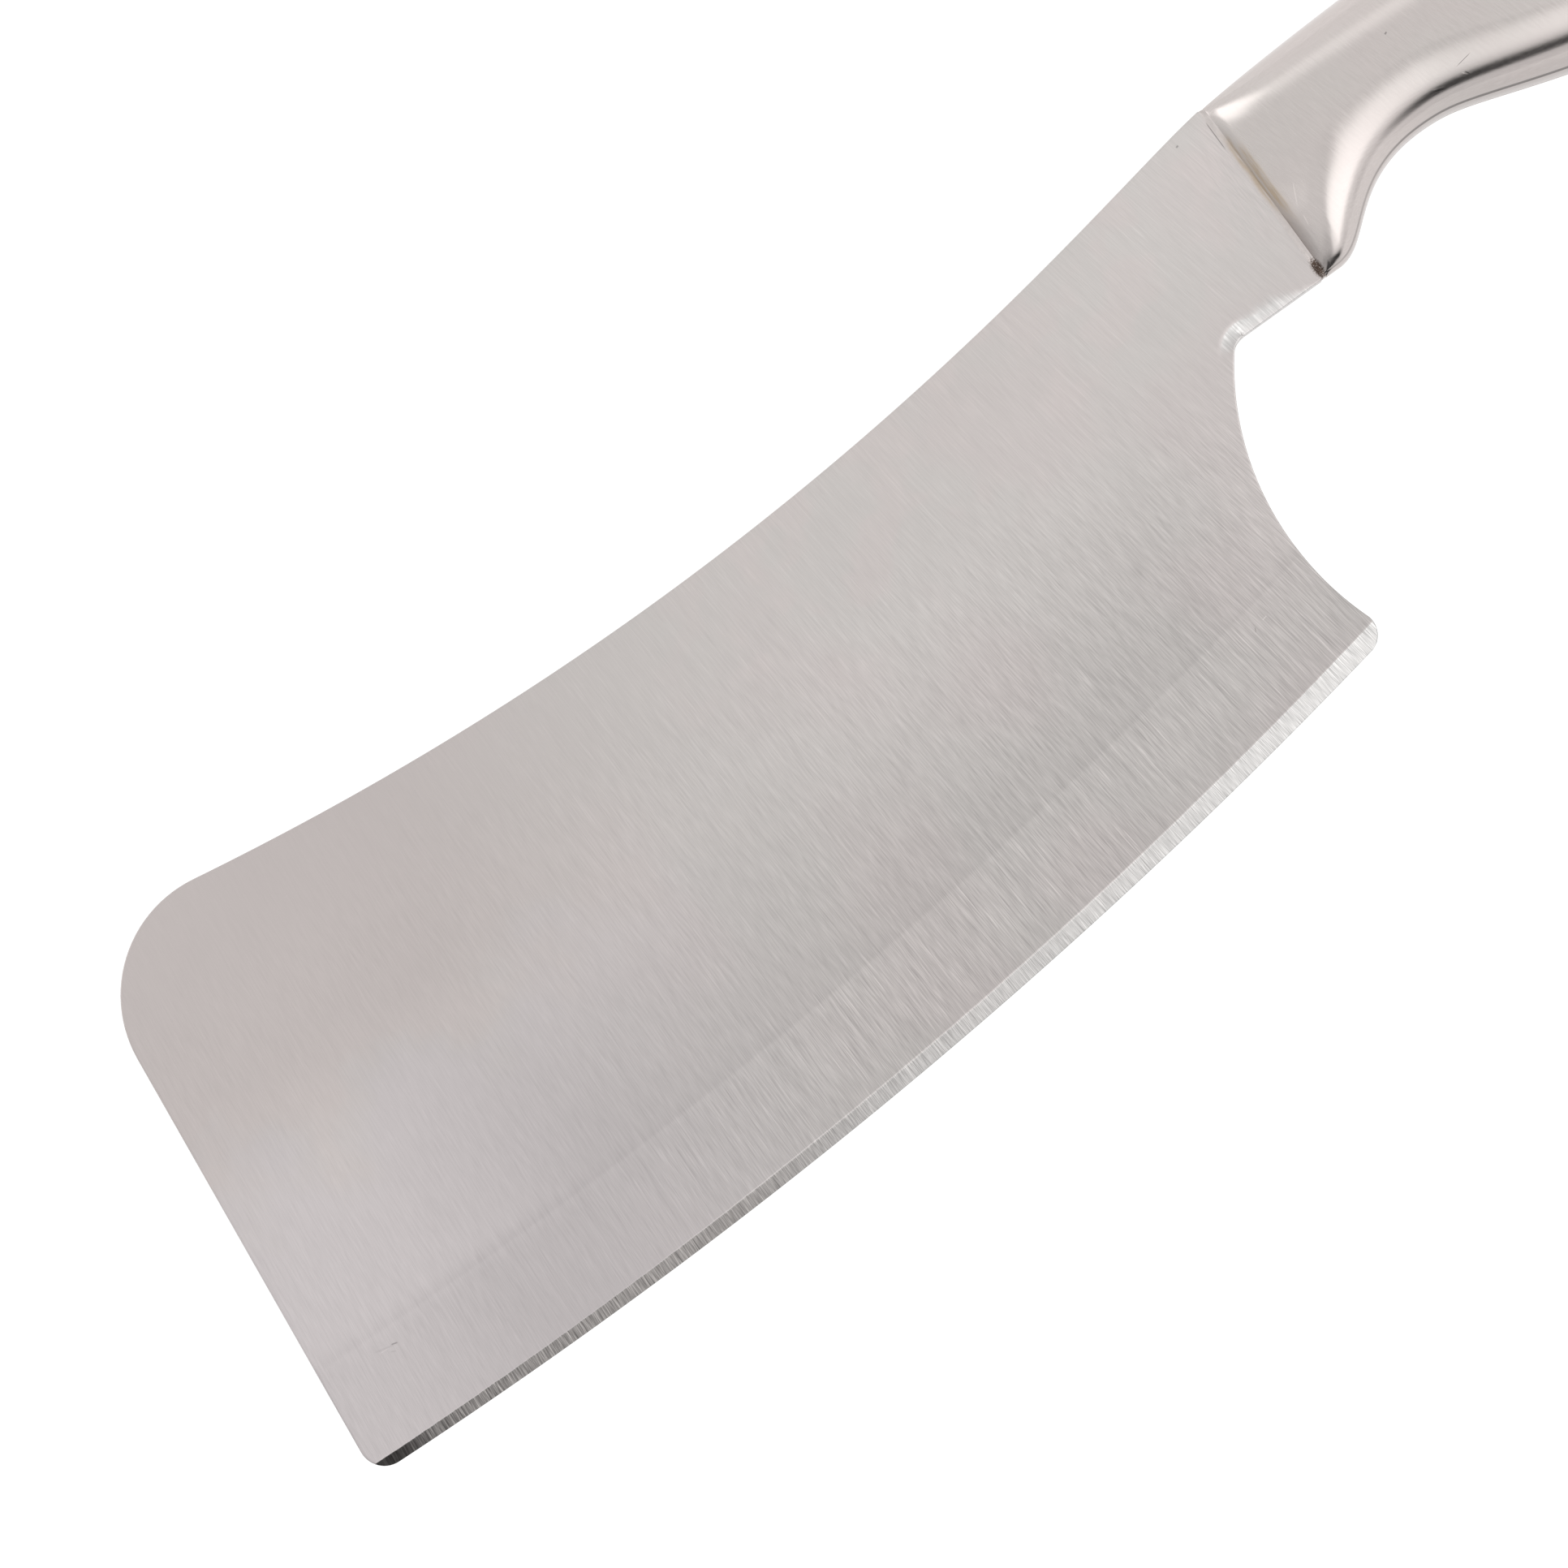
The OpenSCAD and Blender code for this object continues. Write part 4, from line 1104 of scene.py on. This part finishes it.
def weldHeight(behind, rise, rim):
    # Half thickness of the weld: the fillet, its ripples and the pit near the belly
    half = bs["thickness"] / 2
    height = half + (rim - half) * (behind / hs["weldWidth"]) ** ws["fillet"]
    inside = math.sin(math.pi * min(1, max(0, behind / hs["weldWidth"])))
    pitch = ws["ripplePitch"]
    height += ws["ripple"] * inside * noise.noise(Vector((behind / pitch * 1.5, rise / pitch, 2.0)))
    place, size = ws["pitPlace"], ws["pitSize"]
    far = ((behind - place[0]) / size[0]) ** 2 + ((rise - place[1]) / size[1]) ** 2
    rough = 1 + 0.5 * noise.noise(Vector((behind * 5, rise * 4, 5.0)))
    return height - ws["pitDepth"] * rough * math.exp(-far * 1.6) * inside ** 0.5


def neckWeldMesh():
    rim = outerGrid[0]
    rimUps = (rim[:, :2] - neckFoot) @ neckUp
    ups = np.linspace(rimUps[-1], rimUps[0], ws["rows"])
    ups = np.unique(np.concatenate([ups, [bs["tangBottom"], bs["tangTop"]]]))
    rimHeights = np.interp(ups, rimUps[::-1], rim[::-1, 2])
    alongs = np.linspace(0, hs["weldWidth"], ws["columns"])
    n, m = len(ups), len(alongs)
    front = np.zeros((n, m, 3))
    for i, up in enumerate(ups):
        heights = [weldHeight(along, up, rimHeights[i]) for along in alongs[1:-1]]
        heights = [bs["thickness"] / 2, *heights, rimHeights[i]]
        front[i] = [[*neckPlace(along, up), height] for along, height in zip(alongs, heights)]
    back = front * np.array([1, 1, -1])
    a, b = (int(np.searchsorted(ups, bs[key] - 1e-9)) for key in ("tangBottom", "tangTop"))
    half = bs["tangThickness"] / 2
    corners = [[*neckPlace(along, ups[i]), side * half]
               for i in (a, b) for along in (0, hs["weldWidth"]) for side in (1, -1)]
    points = np.concatenate([front.reshape(-1, 3), back.reshape(-1, 3), corners])
    f = lambda i, j: i * m + j
    k = lambda i, j: n * m + i * m + j
    hole = lambda end, far, under: 2 * n * m + end * 4 + far * 2 + under
    faces = []
    for i in range(n - 1):
        for j in range(m - 1):
            faces.append((f(i, j), f(i, j + 1), f(i + 1, j + 1), f(i + 1, j)))
            faces.append((k(i, j), k(i + 1, j), k(i + 1, j + 1), k(i, j + 1)))
    for far, j in ((0, 0), (1, m - 1)):
        walls = []
        for i in range(n - 1):
            if a <= i < b:
                continue
            wall = [f(i, j), f(i + 1, j)]
            wall += [hole(0, far, 0), hole(0, far, 1)] if i + 1 == a else []
            wall += [k(i + 1, j), k(i, j)]
            wall += [hole(1, far, 1), hole(1, far, 0)] if i == b else []
            walls.append(wall)
        walls.append([f(i, j) for i in range(a, b + 1)] + [hole(1, far, 0), hole(0, far, 0)])
        walls.append([hole(0, far, 1), hole(1, far, 1)] + [k(i, j) for i in range(b, a - 1, -1)])
        faces += [tuple(wall[::-1] if far else wall) for wall in walls]
    for j in range(m - 1):
        faces.append((f(0, j), k(0, j), k(0, j + 1), f(0, j + 1)))
        faces.append((f(n - 1, j), f(n - 1, j + 1), k(n - 1, j + 1), k(n - 1, j)))
    faces.append((hole(0, 0, 0), hole(1, 0, 0), hole(1, 1, 0), hole(0, 1, 0)))
    faces.append((hole(0, 0, 1), hole(0, 1, 1), hole(1, 1, 1), hole(1, 0, 1)))
    faces.append((hole(0, 0, 1), hole(0, 0, 0), hole(0, 1, 0), hole(0, 1, 1)))
    faces.append((hole(1, 0, 0), hole(1, 0, 1), hole(1, 1, 1), hole(1, 1, 0)))
    return points, faces


points, faces = neckWeldMesh()
neckWeld = newPiece("neckWeld", points, faces, weldLook, mm, place * mm)
finishPiece(neckWeld, "weld_steel", "neck_weld", sharp=50)
print("neck weld made:", len(points), "vertices")


# Seam welds: a bead that follows the gap between the shells' rims
seamInputs = {
    "Depth": 0.94, "Thickness": 0.58, "Corner": 0.14, "Steps": 700,
    "Ripple height": 0.012, "Ripple pitch": 0.8, "Seed": 2,
}


def seamBeadTree(sizes):
    tree, given = newGeometryTree("seamBead", sizes)
    line = tree.add("GeometryNodeMeshToCurve", None, [given["Geometry"]])
    even = tree.add("GeometryNodeResampleCurve", None, {"Curve": line, "Count": given["Steps"]})
    level = tree.add("GeometryNodeSetCurveNormal", {"mode": "Z_UP"}, [even])
    section = tree.add("GeometryNodeCurvePrimitiveQuadrilateral", {"mode": "RECTANGLE"},
                       {"Width": given["Depth"], "Height": given["Thickness"]})
    corners = tree.add("GeometryNodeFilletCurve", {"mode": "POLY"},
                       {"Curve": section, "Radius": given["Corner"], "Count": 3})
    bead = tree.add("GeometryNodeCurveToMesh", None,
                    {"Curve": level, "Profile Curve": corners, "Fill Caps": True})
    position = tree.add("GeometryNodeInputPosition")
    x, y, z = tree.split(position)
    place = tree.vector(x, y, z * 0.4 + given["Seed"] * 9.0)
    ripple = tree.noise(place, 1 / given["Ripple pitch"], 2.0) * given["Ripple height"]
    normal = tree.add("GeometryNodeInputNormal")
    push = tree.add("ShaderNodeVectorMath", {"operation": "SCALE"}, {"Vector": normal, "Scale": 0 - ripple})
    rippled = tree.add("GeometryNodeSetPosition", None, {"Geometry": bead, "Offset": push})
    return endGeometryTree(tree, rippled, given["Material"])


seamTree = seamBeadTree(seamInputs)
for name, node, edge, normals in (("spineSeamWeld", "spine_seam_weld", spineEdge, spineNormals),
                                  ("bellySeamWeld", "belly_seam_weld", bellyEdge, bellyNormals)):
    inward = hs["skin"] + seamInputs["Depth"] / 2 + 0.01
    middle = np.concatenate([edge + inward * normals, [buttMiddle - np.array([inward, 0])]])
    middle = np.column_stack([middle, np.zeros(len(middle))])
    seam = newPiece(name, middle, [], edges=[(i, i + 1) for i in range(len(middle) - 1)])
    runGeometryTree(seam, seamTree, seamInputs, weldLook)
    seam.data.shade_smooth()
    finishPiece(seam, "weld_steel", node, sharp=60)
    print(name, "made:", len(seam.data.vertices), "vertices")


# Studio: camera, paper floor and the room that the steel mirrors
studio = {
    "tilt": 7.0, "distance": 2.0, "turn": 29.6945,
    "aim": (-0.06148, -0.00273, 0.009398), "lens": 361.8, "sensor": 36.0, "clip": (0.05, 20),
    "floorSize": 6.0, "floorAlbedo": 0.3, "floorGlow": 0.84, "darkest": 0.05,
}
turnCos, turnSin = (float(v) for v in polar(studio["turn"]))
right, upward = Vector((turnCos, -turnSin, 0)), Vector((turnSin, turnCos, 0))
skyward = Vector((0, 0, 1))


def fromView(x, y, z):
    # A direction from the picture's own axes: right, up and towards the ceiling
    return right * x + upward * y + skyward * z


def makeCamera():
    tilt = math.radians(studio["tilt"])
    back = fromView(0, -math.sin(tilt), math.cos(tilt))
    data = bpy.data.cameras.new("photoCamera")
    data.lens = studio["lens"]
    data.sensor_width = studio["sensor"]
    data.clip_start, data.clip_end = studio["clip"]
    camera = bpy.data.objects.new("photoCamera", data)
    bpy.context.scene.collection.objects.link(camera)
    top = back.cross(right)
    turn = Matrix((right, top, back)).transposed().to_4x4()
    camera.matrix_world = Matrix.Translation(Vector(studio["aim"]) + back * studio["distance"]) @ turn
    bpy.context.scene.camera = camera


def makeFloor():
    s = studio["floorSize"] / 2
    floor = newPiece("floor", [(-s, -s, 0), (s, -s, 0), (s, s, 0), (-s, s, 0)], [(0, 1, 2, 3)])
    material = bpy.data.materials.new("paperFloor")
    tree = Tree(emptied(material))
    seen = tree.most(tree.most(tree.ray("Camera"), tree.ray("Glossy")), tree.ray("Transmission"))
    a = studio["floorAlbedo"]
    paper = tree.add("ShaderNodeBsdfDiffuse", None, {"Color": (a, a, a, 1)})
    light = {"Color": (1, 1, 1, 1), "Strength": seen * studio["floorGlow"]}
    glow = tree.add("ShaderNodeEmission", None, light)
    both = tree.add("ShaderNodeAddShader", None, [paper, glow])
    tree.add("ShaderNodeOutputMaterial", None, [both], output=None)
    floor.data.materials.append(material)


# The room round the knife. Directions are in degrees: around the picture from its right side
# through its top, and down from straight overhead. Levels are added to a plain 1. The panel
# starts at a slanting edge and grows brighter round the picture.
room = {
    "panel": {"edge": (-72, -30, 22, 7), "fade": (-3, 5), "down": (45, 61, 1.0, 0.0),
              "around": (-92, -74, 8, 70), "level": (-76, -8, 0.44, 1.00)},
    "horizonDark": {"level": -1.10, "around": (246, 266, 292, 328), "down": (58, 67, 73, 80)},
    "horizonDim": {"level": -0.22, "around": (290, 318, 344, 358), "down": (59, 66, 70, 77)},
    "lowerDark": {"level": -0.22, "around": (226, 244, 262, 276), "down": (22, 36, 80, 92)},
    "leftDim": {"level": -0.38, "around": (192, 212, 240, 260), "down": (50, 88, 120, 140)},
    "overhead": {"level": -0.20, "towards": (15, -70), "size": (15.0, 4.0)},
    "upperLow": {"level": 0.12, "around": (80, 112, 150, 180), "down": (52, 62, 95, 110)},
    "upperLeft": {"level": 0.36, "around": (88, 112, 150, 172), "down": (22, 41, 46, 60)},
    "leftPanel": {"level": 1.05, "around": (146, 160, 180, 194), "down": (42, 51, 60, 70)},
    "rightLow": {"level": 0.20, "around": (300, 330, 352, 359), "down": (55, 62, 90, 100)},
}


def makeWorld():
    world = bpy.data.worlds.new("studioRoom")
    bpy.context.scene.world = world
    tree = Tree(emptied(world))
    way = tree.add("ShaderNodeTexCoord", output=0)

    def towards(direction):
        settings = {"operation": "DOT_PRODUCT"}
        return tree.add("ShaderNodeVectorMath", settings, [way, tuple(direction)], output=1)

    side, up, height = towards(fromView(1, 0, 0)), towards(fromView(0, 1, 0)), towards(skyward)
    degrees = 180 / math.pi
    down = height.maths("ARCCOSINE") * degrees
    turn = up.maths("ARCTAN2", side) * degrees
    around = turn.maths("FLOORED_MODULO", 360.0)
    level = 1.0
    for name, part in room.items():
        if name == "panel":
            start = tree.between(turn, *part["edge"])
            share = tree.between(down - start, *part["fade"]) * tree.between(down, *part["down"])
            share = share * tree.zone(turn, *part["around"]) * tree.between(turn, *part["level"])
        elif name == "overhead":
            a, b = (math.radians(v) for v in part["towards"])
            aim = fromView(math.sin(a) * math.cos(b), math.sin(a) * math.sin(b), math.cos(a))
            share = tree.between(towards(aim).maths("ARCCOSINE") * degrees, *part["size"]) * part["level"]
        else:
            share = tree.zone(around, *part["around"]) * tree.zone(down, *part["down"]) * part["level"]
        level = share + level
    strength = tree.most(level, tree.most(tree.ray("Camera"), studio["darkest"]))
    back = tree.add("ShaderNodeBackground", None, {"Color": (1, 1, 1, 1), "Strength": strength})
    tree.add("ShaderNodeOutputWorld", None, [back], output=None)


makeCamera()
makeFloor()
makeWorld()
bpy.context.scene.view_settings.view_transform = "Standard"
print("studio made")
